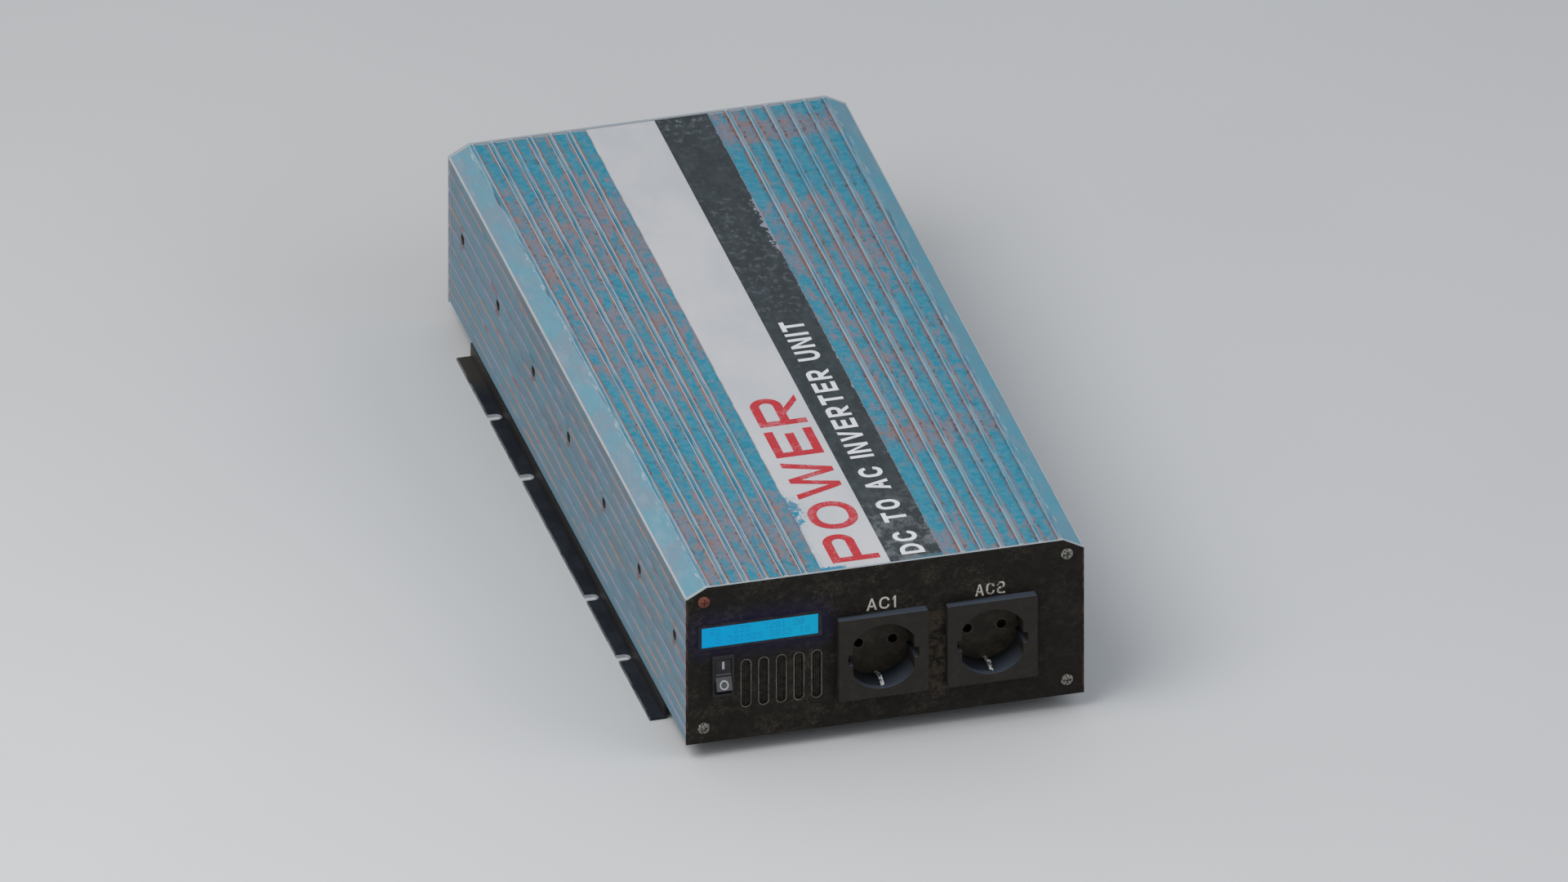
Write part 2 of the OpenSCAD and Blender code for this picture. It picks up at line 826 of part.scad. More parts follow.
// Two bent copper bars that carry the battery current from the studs to the main board
module bus_bars() color("chocolate") in_case() for (side = [-1, 1]) {
    bar_w = 18;
    bar_rear_y = shell_rear_y - bush_t;
    difference() {
        union() {
            block([side * stud_x - bar_w / 2, bar_rear_y - bar_t, board_top],
                [bar_w, bar_t, stud_z + 12 - board_top]);
            block([side * stud_x - bar_w / 2, board_rear_y - 20, board_top],
                [bar_w, bar_rear_y - board_rear_y + 20, bar_t]);
        }
        bar_y(side * stud_x, bar_rear_y - bar_t - through, stud_z, stud_hole_r, bar_t + 2 * through);
    }
}

// ---- Electronics ----

board_bottom = 14;
board_t = 1.6;
board_top = board_bottom + board_t;
board_w = 200;
board_front_y = -190;
board_rear_y = 200;
heat_bar_t = 5;
heat_bar_x = inner_x - heat_bar_t;

module at_standoffs() {
    for (sx = [-1, 1], y = [-182, -60, 60, 192]) translate([sx * 62, y, 0]) children();
}

module main_board() color("darkgreen") in_case() difference() {
    block([-board_w / 2, board_front_y, board_bottom],
        [board_w, board_rear_y - board_front_y, board_t]);
    at_standoffs() translate([0, 0, board_bottom - through])
        cylinder(r = 1.7, h = board_t + 2 * through);
}

module board_standoffs() color("silver") in_case() at_standoffs() difference() {
    union() {
        translate([0, 0, plate_t]) cylinder(r = 3.2, h = board_bottom - plate_t, $fn = 6);
        cylinder(r = 1.5, h = plate_t + 1);
    }
    translate([0, 0, plate_t + 2]) cylinder(r = 1.25, h = board_bottom);
}

module board_screws() color("silver") in_case() at_standoffs()
    translate([0, 0, board_top]) screw(2.8, 1.8, 1.2, 8);

module heat_bar(side) color("silver") in_case() difference() {
    union() {
        block([side > 0 ? heat_bar_x : -inner_x, side_screw_ys[0] - 7, 20],
            [heat_bar_t, 6 * side_screw_pitch + 14, 55]);
        block([side > 0 ? heat_bar_x - 6 : -inner_x, side_screw_ys[0] - 7, 70],
            [heat_bar_t + 6, 6 * side_screw_pitch + 14, 5]);
    }
    for (y = side_screw_ys)
        bar_x(side > 0 ? heat_bar_x - through : -inner_x - through, y, side_screw_z, 1.7,
            heat_bar_t + 2 * through);
}

module left_heat_bar() heat_bar(-1);

module right_heat_bar() heat_bar(1);

// Power transistors standing against a heat bar, each with three legs down to the board
module transistors(side) color("#1a1a1a") in_case() for (i = [0:10]) {
    body_size = [5, 16, 21];
    leg_size = [0.7, 1.2, 9];
    translate([side * (heat_bar_x - body_size[0] / 2), -170 + i * 34, board_top]) {
        translate([0, 0, 8.4 + body_size[2] / 2]) cube(body_size, center = true);
        for (leg = [-1:1])
            translate([0, leg * 5.45, leg_size[2] / 2]) cube(leg_size, center = true);
    }
}

module left_transistors() transistors(-1);

module right_transistors() transistors(1);

core_size = [52, 21, 46];
core_leg = 8;
core_yoke = 9;
window_size = [10, 28];
transformer_xs = [-62, 0, 62];
transformer_y = 95;

module transformer_cores() color("dimgray") in_case() for (x = transformer_xs)
    along_y(transformer_y - core_size[1] / 2, transformer_y + core_size[1] / 2)
        translate([x, board_top]) difference() {
            translate([-core_size[0] / 2, 0]) square([core_size[0], core_size[2]]);
            for (side = [-1, 1])
                translate([side * (core_size[0] / 2 - core_leg - window_size[0] / 2),
                    core_yoke + window_size[1] / 2]) square(window_size, center = true);
        }

module transformer_windings() color("goldenrod") in_case() for (x = transformer_xs)
    translate([x, transformer_y, board_top + core_yoke + fit_gap])
        linear_extrude(height = window_size[1] - 2 * fit_gap) difference() {
            leg_w = core_size[0] - 2 * core_leg - 2 * window_size[0];
            rounded_square(leg_w + 2 * window_size[0] - 1, core_size[1] + 19, 6);
            square([leg_w + 2 * fit_gap, core_size[1] + 2 * fit_gap], center = true);
        }

// A row of upright cans on the main board
module cans(xs, ys, r, h) in_case() for (x = xs, y = ys)
    translate([x, y, board_top]) {
        cylinder(r = r, h = h - 1);
        cylinder(r = r - 1.2, h = h);
    }

module input_capacitors() color("#26303c") cans([-50:20:50], [140, 162], 9, 36);

module storage_capacitors() color("#1f2a44") cans([-63:42:63], [28], 15, 46);

module fuses() color("orange") in_case() for (i = [0:5])
    block([-52.5 + i * 20, 178, board_top], [5, 12, 17]);

module film_capacitors() color("gold") in_case() for (x = [-70, 0, 70])
    block([x - 21, -30, board_top], [42, 20, 30]);

module output_chokes() color("darkgoldenrod") in_case() for (x = [-45, 45])
    translate([x, -92, board_top + 9.1]) rotate_extrude() translate([22, 0]) circle(r = 9);

module control_board() color("seagreen") in_case() {
    block([-60, -141, board_top], [120, board_t, 45]);
    for (x = [-46, -10, 26])
        block([x, -141 - 2.4, board_top + 18], [18, 2.5, 12]);
}

module terminal_block() color("forestgreen") in_case() difference() {
    block([-30, -178, board_top], [100, 14, 16]);
    for (i = [0:5]) bar_y(-20 + i * 16, -178 - through, board_top + 8, 4, 10);
}

case_shell();
bottom_plate();
mounting_tray();
base_screws();
front_panel();
front_panel_screws();
rear_panel();
rear_panel_screws();
left_side_screws();
right_side_screws();
light_label();
dark_label();
display_frame();
display_module();
display_board();
display_standoffs();
display_screws();
switch_housing();
switch_rocker();
switch_terminals();
socket_1_body();
socket_2_body();
socket_1_earth_clips();
socket_2_earth_clips();
socket_1_contacts();
socket_2_contacts();
socket_screws();
left_fan_frame();
right_fan_frame();
left_fan_rotor();
right_fan_rotor();
left_fan_guard();
right_fan_guard();
fan_stators();
fan_screws();
positive_insulator();
negative_insulator();
battery_studs();
stud_nuts();
stud_washers();
stud_bushes();
earth_stud();
earth_nuts();
bus_bars();
main_board();
board_standoffs();
board_screws();
left_heat_bar();
right_heat_bar();
left_transistors();
right_transistors();
transformer_cores();
transformer_windings();
input_capacitors();
fuses();
storage_capacitors();
film_capacitors();
output_chokes();
control_board();
terminal_block();
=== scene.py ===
"""Looks of a ribbed power inverter on its mounting tray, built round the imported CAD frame."""

import math
import random

import bmesh
import bpy
from mathutils import Matrix, Vector


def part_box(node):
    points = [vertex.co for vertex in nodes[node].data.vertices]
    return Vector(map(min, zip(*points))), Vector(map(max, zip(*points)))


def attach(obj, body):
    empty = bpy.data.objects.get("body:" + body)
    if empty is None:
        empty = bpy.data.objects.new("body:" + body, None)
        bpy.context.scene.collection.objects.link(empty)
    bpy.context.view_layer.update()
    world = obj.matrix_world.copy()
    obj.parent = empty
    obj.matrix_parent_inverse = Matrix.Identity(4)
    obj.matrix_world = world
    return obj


MM = 0.001

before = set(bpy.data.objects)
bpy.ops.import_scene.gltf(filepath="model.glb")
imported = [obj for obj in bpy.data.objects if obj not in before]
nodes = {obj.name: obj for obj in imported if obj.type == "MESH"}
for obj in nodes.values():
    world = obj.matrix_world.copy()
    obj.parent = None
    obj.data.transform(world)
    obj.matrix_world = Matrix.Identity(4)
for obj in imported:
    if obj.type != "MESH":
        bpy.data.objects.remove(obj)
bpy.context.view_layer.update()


def box_mm(name):
    """A node's lowest and highest corner in millimetres."""
    return tuple(Vector(corner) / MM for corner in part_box(name))


shell_lo, shell_hi = box_mm("case_shell")
panel_lo, panel_hi = box_mm("front_panel")
tray_hi = box_mm("mounting_tray")[1]
MIDDLE_Y = (shell_lo.y + shell_hi.y) / 2
SHELL_L = shell_hi.y - shell_lo.y
HALF_W = shell_hi.x

# Sizes that the finishes follow, in millimetres; heights are above the case's underside
BEVEL_W, BEVEL_H = 11.5, 6.3
RIB_W, RIB_H = 2.4, 0.8
RIB_PITCH = 10.8
RIBS_EACH_SIDE = 6
SIDE_RIB_HEIGHTS = (6.9, 15.1, 25, 35.4, 47.3, 58.5, 68.9, 79.4)
SIDE_SCREW_PITCH, SIDE_SCREW_HEIGHT = 72.9, 53
VENT_X, VENT_HEIGHT, VENT_PITCH, VENT_W, VENT_H = -76.95, 33.5, 9.75, 5, 28.7
NOTCH_PITCH, NOTCH_W, NOTCH_DEPTH = 66.5, 5, 6.5
VENT_COUNT = 5
RECESS_DEPTH = 17.5
SOCKET_PIN_PITCH, SOCKET_PIN_R = 19, 2.6
RIM_X = HALF_W - BEVEL_W

# How the roof's paint has lasted along each side. Each stretch: its middle in millimetres from the
# front end, its half length, the length over which it fades, and what it adds to the cover of paint
LEFT_STRETCHES = (
    (50, 25, 20, -0.05), (140, 28, 30, 0.16), (205, 10, 30, 0.05),
    (285, 12, 16, -0.04), (378, 32, 20, -0.05), (475, 22, 14, 0.17))
RIGHT_STRETCHES = (
    (5, 10, 12, -0.02), (78, 16, 22, 0.22), (133, 5, 12, -0.08), (275, 10, 15, 0.04),
    (345, 24, 22, -0.03), (422, 24, 14, 0.15), (463, 8, 8, -0.1))


# ---- Camera, floor and light ----

VIEW_AZIMUTH = -15
VIEW_ELEVATION = 30
VIEW_WIDTH = 0.8378
VIEW_DISTANCE = 2
AIM_RIGHT, AIM_UP = 0.0096, 0.0296
FLOOR_HALF = 4
WORLD_COLOUR, WORLD_STRENGTH = (0.93, 0.96, 1.0, 1), 0.5


def direction(azimuth, elevation):
    """Unit vector from the object towards a place: azimuth 0 is the front, 90 the right side."""
    a, e = math.radians(azimuth), math.radians(elevation)
    return Vector((math.sin(a) * math.cos(e), -math.cos(a) * math.cos(e), math.sin(e)))


def add_camera():
    back = direction(VIEW_AZIMUTH, VIEW_ELEVATION)
    turn = (-back).to_track_quat("-Z", "Y")
    right, up = turn @ Vector((1, 0, 0)), turn @ Vector((0, 1, 0))
    under_case = Vector((0, MIDDLE_Y, shell_lo.z)) * MM
    data = bpy.data.cameras.new("camera")
    data.type = "ORTHO"
    data.ortho_scale = VIEW_WIDTH
    camera = bpy.data.objects.new("camera", data)
    camera.rotation_mode = "QUATERNION"
    camera.rotation_quaternion = turn
    camera.location = under_case + right * AIM_RIGHT + up * AIM_UP + back * VIEW_DISTANCE
    bpy.context.collection.objects.link(camera)
    bpy.context.scene.camera = camera


def add_softbox(name, azimuth, elevation, distance, size, power, colour):
    data = bpy.data.lights.new(name, "AREA")
    data.shape = "DISK"
    data.size = size
    data.energy = power
    data.color = colour
    lamp = bpy.data.objects.new(name, data)
    back = direction(azimuth, elevation)
    lamp.location = back * distance
    lamp.rotation_mode = "QUATERNION"
    lamp.rotation_quaternion = (-back).to_track_quat("-Z", "Y")
    bpy.context.collection.objects.link(lamp)


# ---- Shader building ----


def rgb(red, green, blue):
    """A display colour, 0 to 255, as the linear values that shaders take."""
    def linear(v):
        v /= 255
        return v / 12.92 if v <= 0.04045 else ((v + 0.055) / 1.055) ** 2.4
    return (linear(red), linear(green), linear(blue))


class Shader:
    """Builds one material. Every method that makes a node returns its output socket."""

    def __init__(self, name):
        self.material = bpy.data.materials.new(name)
        self.material.use_nodes = True
        self.tree = self.material.node_tree
        self.bsdf = self.tree.nodes["Principled BSDF"]
        coords = self.tree.nodes.new("ShaderNodeTexCoord")
        in_metres = coords.outputs["Object"]
        self.place = self.add("ShaderNodeVectorMath", {0: in_metres, "Scale": 1 / MM},
                              operation="SCALE")
        self.x, self.y, self.z = self.split(self.place)
        self.facing_x, self.facing_y, self.facing_z = self.split(coords.outputs["Normal"])

    def add(self, kind, inputs=None, out=0, **settings):
        node = self.tree.nodes.new(kind)
        for key, value in settings.items():
            setattr(node, key, value)
        for key, value in (inputs or {}).items():
            self.feed(node.inputs[key], value)
        return node.outputs[out]

    def feed(self, socket, value):
        if isinstance(value, bpy.types.NodeSocket):
            self.tree.links.new(value, socket)
        elif socket.type == "RGBA" and len(value) == 3:
            socket.default_value = (*value, 1)
        else:
            socket.default_value = value

    def split(self, vector):
        node = self.tree.nodes.new("ShaderNodeSeparateXYZ")
        self.tree.links.new(vector, node.inputs[0])
        return tuple(node.outputs)

    def calc(self, operation, *values):
        return self.add("ShaderNodeMath", dict(enumerate(values)), operation=operation)

    def plus(self, *values):
        total = values[0]
        for value in values[1:]:
            total = self.calc("ADD", total, value)
        return total

    def minus(self, first, second):
        return self.calc("SUBTRACT", first, second)

    def times(self, *values):
        product = values[0]
        for value in values[1:]:
            product = self.calc("MULTIPLY", product, value)
        return product

    def size(self, value):
        return self.calc("ABSOLUTE", value)

    def most(self, *values):
        result = values[0]
        for value in values[1:]:
            result = self.calc("MAXIMUM", result, value)
        return result

    def reach(self, first, second):
        """Length of the vector with these two parts."""
        return self.calc("SQRT", self.plus(self.times(first, first), self.times(second, second)))

    def beyond(self, value, middle, half):
        """How far value lies outside half of the middle, and 0 inside it."""
        return self.most(self.minus(self.size(self.minus(value, middle)), half), 0.0)

    def within(self, value, pitch):
        """How far value is from the nearest multiple of pitch, with its sign."""
        turns = self.plus(self.calc("DIVIDE", value, pitch), 0.5)
        return self.times(self.minus(self.calc("FRACT", turns), 0.5), pitch)

    def rise(self, value, low, high):
        """0 below low, 1 above high, smooth between; low may be the larger one."""
        inputs = {0: value, 1: low, 2: high, 3: 0.0, 4: 1.0}
        if low > high:
            inputs.update({1: high, 2: low, 3: 1.0, 4: 0.0})
        return self.add("ShaderNodeMapRange", inputs, interpolation_type="SMOOTHSTEP")

    def band(self, value, middle, half, soft):
        """1 within half of the middle, falling to 0 over soft."""
        return self.rise(self.size(self.minus(value, middle)), half + soft, half)

    def right_half(self):
        """1 on the object's right side and 0 on its left."""
        return self.rise(self.x, -1, 1)

    def mix(self, factor, first, second):
        return self.add("ShaderNodeMix", {0: factor, 6: first, 7: second}, out=2, data_type="RGBA")

    def scaled(self, size, seed):
        """The place in units of size millimetres, shifted by seed so that noises differ."""
        sizes = size if isinstance(size, tuple) else (size, size, size)
        small = self.add("ShaderNodeVectorMath", {0: self.place, 1: tuple(1 / s for s in sizes)},
                         operation="MULTIPLY")
        return self.add("ShaderNodeVectorMath", {0: small, 1: (seed, seed * 0.7, -seed)},
                        operation="ADD")

    def noise(self, size, detail=3.0, rough=0.55, seed=0.0, warp=0.0):
        """Noise whose features are about size millimetres, one number or one for each axis."""
        return self.add("ShaderNodeTexNoise", {"Vector": self.scaled(size, seed), "Scale": 1.0,
                                               "Detail": detail, "Roughness": rough,
                                               "Distortion": warp})

    def clouds(self, size, low, high, seed, detail=3.0, rough=0.6):
        """Noise turned into a mask: 0 below low, 1 above high."""
        return self.rise(self.noise(size, detail, rough, seed), low, high)

    def finish(self, colour, rough, metal, bump, bump_depth, **extra):
        """Wires up the surface. bump_depth is in millimetres; extra names further sockets."""
        self.feed(self.bsdf.inputs["Base Color"], colour)
        self.feed(self.bsdf.inputs["Roughness"], rough)
        self.feed(self.bsdf.inputs["Metallic"], metal)
        for key, value in extra.items():
            self.feed(self.bsdf.inputs[key.replace("_", " ")], value)
        normal = self.add("ShaderNodeBump", {"Height": bump, "Distance": bump_depth * MM,
                                             "Strength": 1.0})
        self.tree.links.new(normal, self.bsdf.inputs["Normal"])
        return self.material


# ---- Materials ----


def roof_colour(s, grain, streak):
    """Worn blue valleys between ribs whose edges are rubbed pale."""
    away = s.size(s.x)
    first_rib = RIM_X - RIB_W / 2 + 0.8 - (RIBS_EACH_SIDE - 1) * RIB_PITCH
    held = s.most(away, first_rib - RIB_PITCH / 2 + 0.1)
    offset = s.within(s.minus(held, first_rib), RIB_PITCH)
    from_rib = s.size(offset)
    middle = s.rise(from_rib, RIB_W / 2 + 0.2, RIB_W / 2 + 2.6)

    # Paint is left in some stretches more than in others, differently on each side
    from_front = s.minus(s.y, shell_lo.y)
    on_right = s.right_half()
    left_cover, right_cover = (
        s.plus(*(s.times(s.band(from_front, *stretch), gain) for *stretch, gain in stretches))
        for stretches in (LEFT_STRETCHES, RIGHT_STRETCHES))
    kept = s.plus(s.times(s.minus(1.0, on_right), left_cover), s.times(on_right, right_cover))
    bare = s.rise(kept, -0.01, -0.07)
    cover = s.plus(s.times(s.noise((34, 52, 34), 2, 0.5, 3.1), 0.55),
                   s.times(s.noise((4, 10, 4), 3, 0.6, 11.3), 0.8),
                   s.times(grain, 0.14), s.times(middle, 0.13), kept, 0.025,
                   s.times(on_right, 0.03))
    painted = s.rise(cover, 0.8, 0.93)
    worn = s.mix(s.clouds((3, 7, 3), 0.36, 0.6, 14.0), rgb(110, 130, 149), rgb(130, 127, 139))
    blue = s.mix(s.clouds(4, 0.35, 0.65, 2.0), rgb(20, 134, 162), rgb(70, 143, 166))
    blue = s.mix(s.times(bare, 0.3), blue, rgb(112, 122, 134))
    colour = s.mix(painted, worn, blue)
    mottle = s.noise((1.1, 1.6, 1.1), 3, 0.7, 6.6)
    faded = s.times(s.rise(mottle, 0.52, 0.68),
                    s.minus(0.5, s.times(s.rise(kept, 0.02, 0.15), 0.25)))
    colour = s.mix(faded, colour, rgb(126, 148, 162))
    colour = s.mix(s.times(s.rise(mottle, 0.46, 0.32), 0.35), colour, rgb(82, 116, 134))

    # Rust at the ribs' feet and where paint is gone, and dark specks of dirt
    fainter = s.minus(1.0, s.times(on_right, s.rise(away, 30, 95), 0.5))
    foot = s.band(from_rib, RIB_W / 2 + 0.8, 0.45, 0.8)
    rusty = s.times(foot, s.clouds((4, 24, 4), 0.38, 0.56, 21.0),
                    s.clouds((30, 44, 30), 0.26, 0.5, 9.0))
    rusty = s.most(rusty, s.times(s.plus(s.times(bare, 0.42), 0.28),
                                  s.clouds((4.5, 9, 4.5), 0.52, 0.64, 24.0)))
    browner = s.times(grain, s.plus(0.7, s.times(on_right, 0.3)))
    colour = s.mix(s.times(rusty, fainter, 0.8), colour,
                   s.mix(browner, rgb(172, 122, 96), rgb(116, 98, 100)))
    beside_rib = s.plus(0.3, s.times(s.rise(from_rib, RIB_W / 2 + 3, RIB_W / 2 + 1), 0.7))
    specks = s.times(s.clouds((1.7, 3.4, 1.7), 0.5, 0.64, 31.0), beside_rib,
                     s.most(s.clouds((22, 14, 22), 0.46, 0.58, 15.0), bare))
    colour = s.mix(s.times(specks, 0.75), colour, rgb(84, 70, 74))

    # Rib tops keep their blue; the edge on the lit side shines more than the other
    on_rib = s.rise(from_rib, RIB_W / 2 + 0.05, RIB_W / 2 - 0.05)
    rib_top = s.mix(s.rise(streak, 0.4, 0.58), rgb(58, 128, 154), rgb(124, 156, 172))
    colour = s.mix(s.times(on_rib, 0.85), colour, rib_top)
    signed = s.times(offset, s.calc("SIGN", s.x))
    shine = s.clouds((2.5, 45, 2.5), 0.3, 0.56, 17.0)
    left = s.times(s.band(signed, -RIB_W / 2, 0.12, 0.24), s.plus(s.times(shine, 0.5), 0.4),
                   fainter)
    right = s.times(s.band(signed, RIB_W / 2 - 0.15, 0.14, 0.24), s.plus(s.times(shine, 0.4), 0.5),
                    fainter)
    colour = s.mix(left, colour, rgb(188, 198, 206))
    return s.mix(right, colour, rgb(172, 184, 194)), painted


def bevel_colour(s):
    """Chalky pale blue, greener on the right."""
    left = s.mix(s.clouds((15, 34, 15), 0.4, 0.62, 41.0), rgb(112, 157, 174), rgb(128, 150, 165))
    left = s.mix(s.times(s.clouds((2.6, 5, 2.6), 0.5, 0.7, 44.0), 0.7), left, rgb(106, 152, 170))
    right = s.mix(s.clouds((12, 30, 12), 0.4, 0.62, 47.0), rgb(88, 151, 173), rgb(104, 147, 166))
    on_right = s.right_half()
    colour = s.mix(on_right, left, right)
    pale = s.times(s.clouds((7, 20, 7), 0.5, 0.68, 49.0), s.minus(0.28, s.times(on_right, 0.13)))
    return s.mix(pale, colour, rgb(158, 170, 182))


def side_colour(s, grain, streak):
    """Greyer than the roof, full of fine lines, rusty along the ribs and round the screws."""
    nearest = None
    for height in SIDE_RIB_HEIGHTS:
        gap = s.size(s.minus(s.z, height + shell_lo.z))
        nearest = gap if nearest is None else s.calc("MINIMUM", nearest, gap)
    colour = s.mix(s.clouds((9, 26, 9), 0.4, 0.6, 51.0, 4), rgb(97, 139, 154), rgb(109, 127, 140))
    colour = s.mix(s.times(s.clouds((5, 12, 5), 0.52, 0.7, 57.0), 0.55), colour, rgb(86, 124, 140))
    threads = s.noise((0.8, 60, 0.8), 4, 0.72, 58.0)
    colour = s.mix(s.times(s.rise(threads, 0.53, 0.66), 0.55), colour, rgb(146, 148, 156))
    colour = s.mix(s.times(s.rise(threads, 0.47, 0.36), 0.35), colour, rgb(78, 110, 126))
    upper = s.times(s.rise(s.z, shell_hi.z - 30, shell_hi.z - 10),
                    s.clouds((20, 50, 20), 0.35, 0.6, 59.0))
    colour = s.mix(s.times(upper, 0.32), colour, rgb(96, 100, 104))
    low = s.rise(s.z, shell_lo.z + 42, shell_lo.z + 6)
    colour = s.mix(s.times(low, 0.55), colour, rgb(112, 150, 166))
    to_rear = s.rise(s.y, MIDDLE_Y + 70, MIDDLE_Y + 130)
    colour = s.mix(s.times(to_rear, 0.28), colour, rgb(122, 158, 176))

    rib = s.mix(s.rise(streak, 0.4, 0.6), rgb(84, 136, 158), rgb(118, 142, 164))
    colour = s.mix(s.times(s.rise(nearest, RIB_W / 2 + 0.05, RIB_W / 2 - 0.05), 0.7), colour, rib)
    tone = s.mix(s.clouds((3, 46, 9), 0.42, 0.56, 61.0, 2), rgb(186, 148, 130), rgb(164, 158, 176))
    tone = s.mix(s.clouds((3, 30, 5), 0.6, 0.68, 63.0, 2), tone, rgb(182, 108, 110))
    lines = s.times(s.band(nearest, RIB_W / 2, 0.14, 0.26), s.clouds((3, 26, 3), 0.3, 0.55, 65.0))
    colour = s.mix(s.times(lines, 0.75), colour, tone)

    # A rust stain round each screw, taller than it is wide, and the dark hole of the screw itself
    dy = s.within(s.minus(s.y, MIDDLE_Y), SIDE_SCREW_PITCH)
    dz = s.minus(s.z, SIDE_SCREW_HEIGHT + shell_lo.z)
    from_screw = s.reach(dy, dz)
    halo = s.times(s.rise(s.reach(dy, s.times(dz, 0.6)), 5.5, 2.8), s.rise(grain, 0.3, 0.6))
    colour = s.mix(s.times(halo, 0.65), colour, rgb(120, 84, 66))
    return s.mix(s.rise(from_screw, 3.25, 3.05), colour, rgb(54, 36, 28))


def case_paint():
    s = Shader("case_paint")
    away = s.size(s.x)
    grain = s.noise(1.5, 3, 0.7, 5.2)
    streak = s.noise((2.2, 34, 2.2), 3, 0.6, 7.7)
    roof, painted = roof_colour(s, grain, streak)
    colour = s.mix(s.rise(away, RIM_X + 0.7, RIM_X + 0.9), roof, bevel_colour(s))

    # The paint's torn hem along the top of each bevel: blue-green, with chips and dark scratches
    torn = s.noise((1.8, 3.6, 1.8), 4, 0.7, 83.0)
    hem = s.rise(away, RIM_X + 0.6, RIM_X + 0.7)
    width = s.times(s.rise(torn, 0.44, 0.8), 2.6)
    fringe = s.times(hem, s.rise(s.minus(s.plus(width, RIM_X + 0.7), away), 0.0, 0.9),
                     s.clouds((6, 60, 6), 0.38, 0.56, 89.0))
    colour = s.mix(s.times(fringe, 0.6), colour, rgb(62, 128, 150))
    chips = s.times(s.band(away, RIM_X + 1.6, 0.5, 0.6), s.clouds((2, 11, 2), 0.56, 0.64, 85.0))
    colour = s.mix(s.times(chips, 0.8), colour, rgb(170, 182, 190))
    scratch = s.times(s.band(away, RIM_X + 0.8, 0.3, 0.4),
                      s.clouds((3, 40, 3), 0.56, 0.62, 87.0, 2))
    colour = s.mix(s.times(scratch, 0.8), colour, rgb(74, 82, 94))

    on_side = s.rise(s.z, shell_hi.z - BEVEL_H - 0.15, shell_hi.z - BEVEL_H - 0.35)
    colour = s.mix(on_side, colour, side_colour(s, grain, streak))

    # Bare metal along the bevel's lower edge and round the open ends
    rubbed = s.plus(s.times(s.clouds((3, 22, 3), 0.25, 0.5, 81.0), 0.7), 0.3)
    low_edge = s.times(s.band(s.z, shell_hi.z - BEVEL_H - 0.3, 0.5, 0.35), rubbed)
    end_edge = s.rise(s.size(s.minus(s.y, MIDDLE_Y)), SHELL_L / 2 - 1.0, SHELL_L / 2 - 0.5)
    bare = s.most(low_edge, s.times(end_edge, 0.8))
    colour = s.mix(s.times(bare, 0.85), colour, rgb(206, 198, 196))

    rough = s.plus(0.46, s.times(grain, 0.24), s.times(bare, -0.12))
    relief = s.plus(s.times(painted, 0.5), grain)
    return s.finish(colour, rough, s.times(bare, 0.2), relief, 0.05, Specular_IOR_Level=0.3)


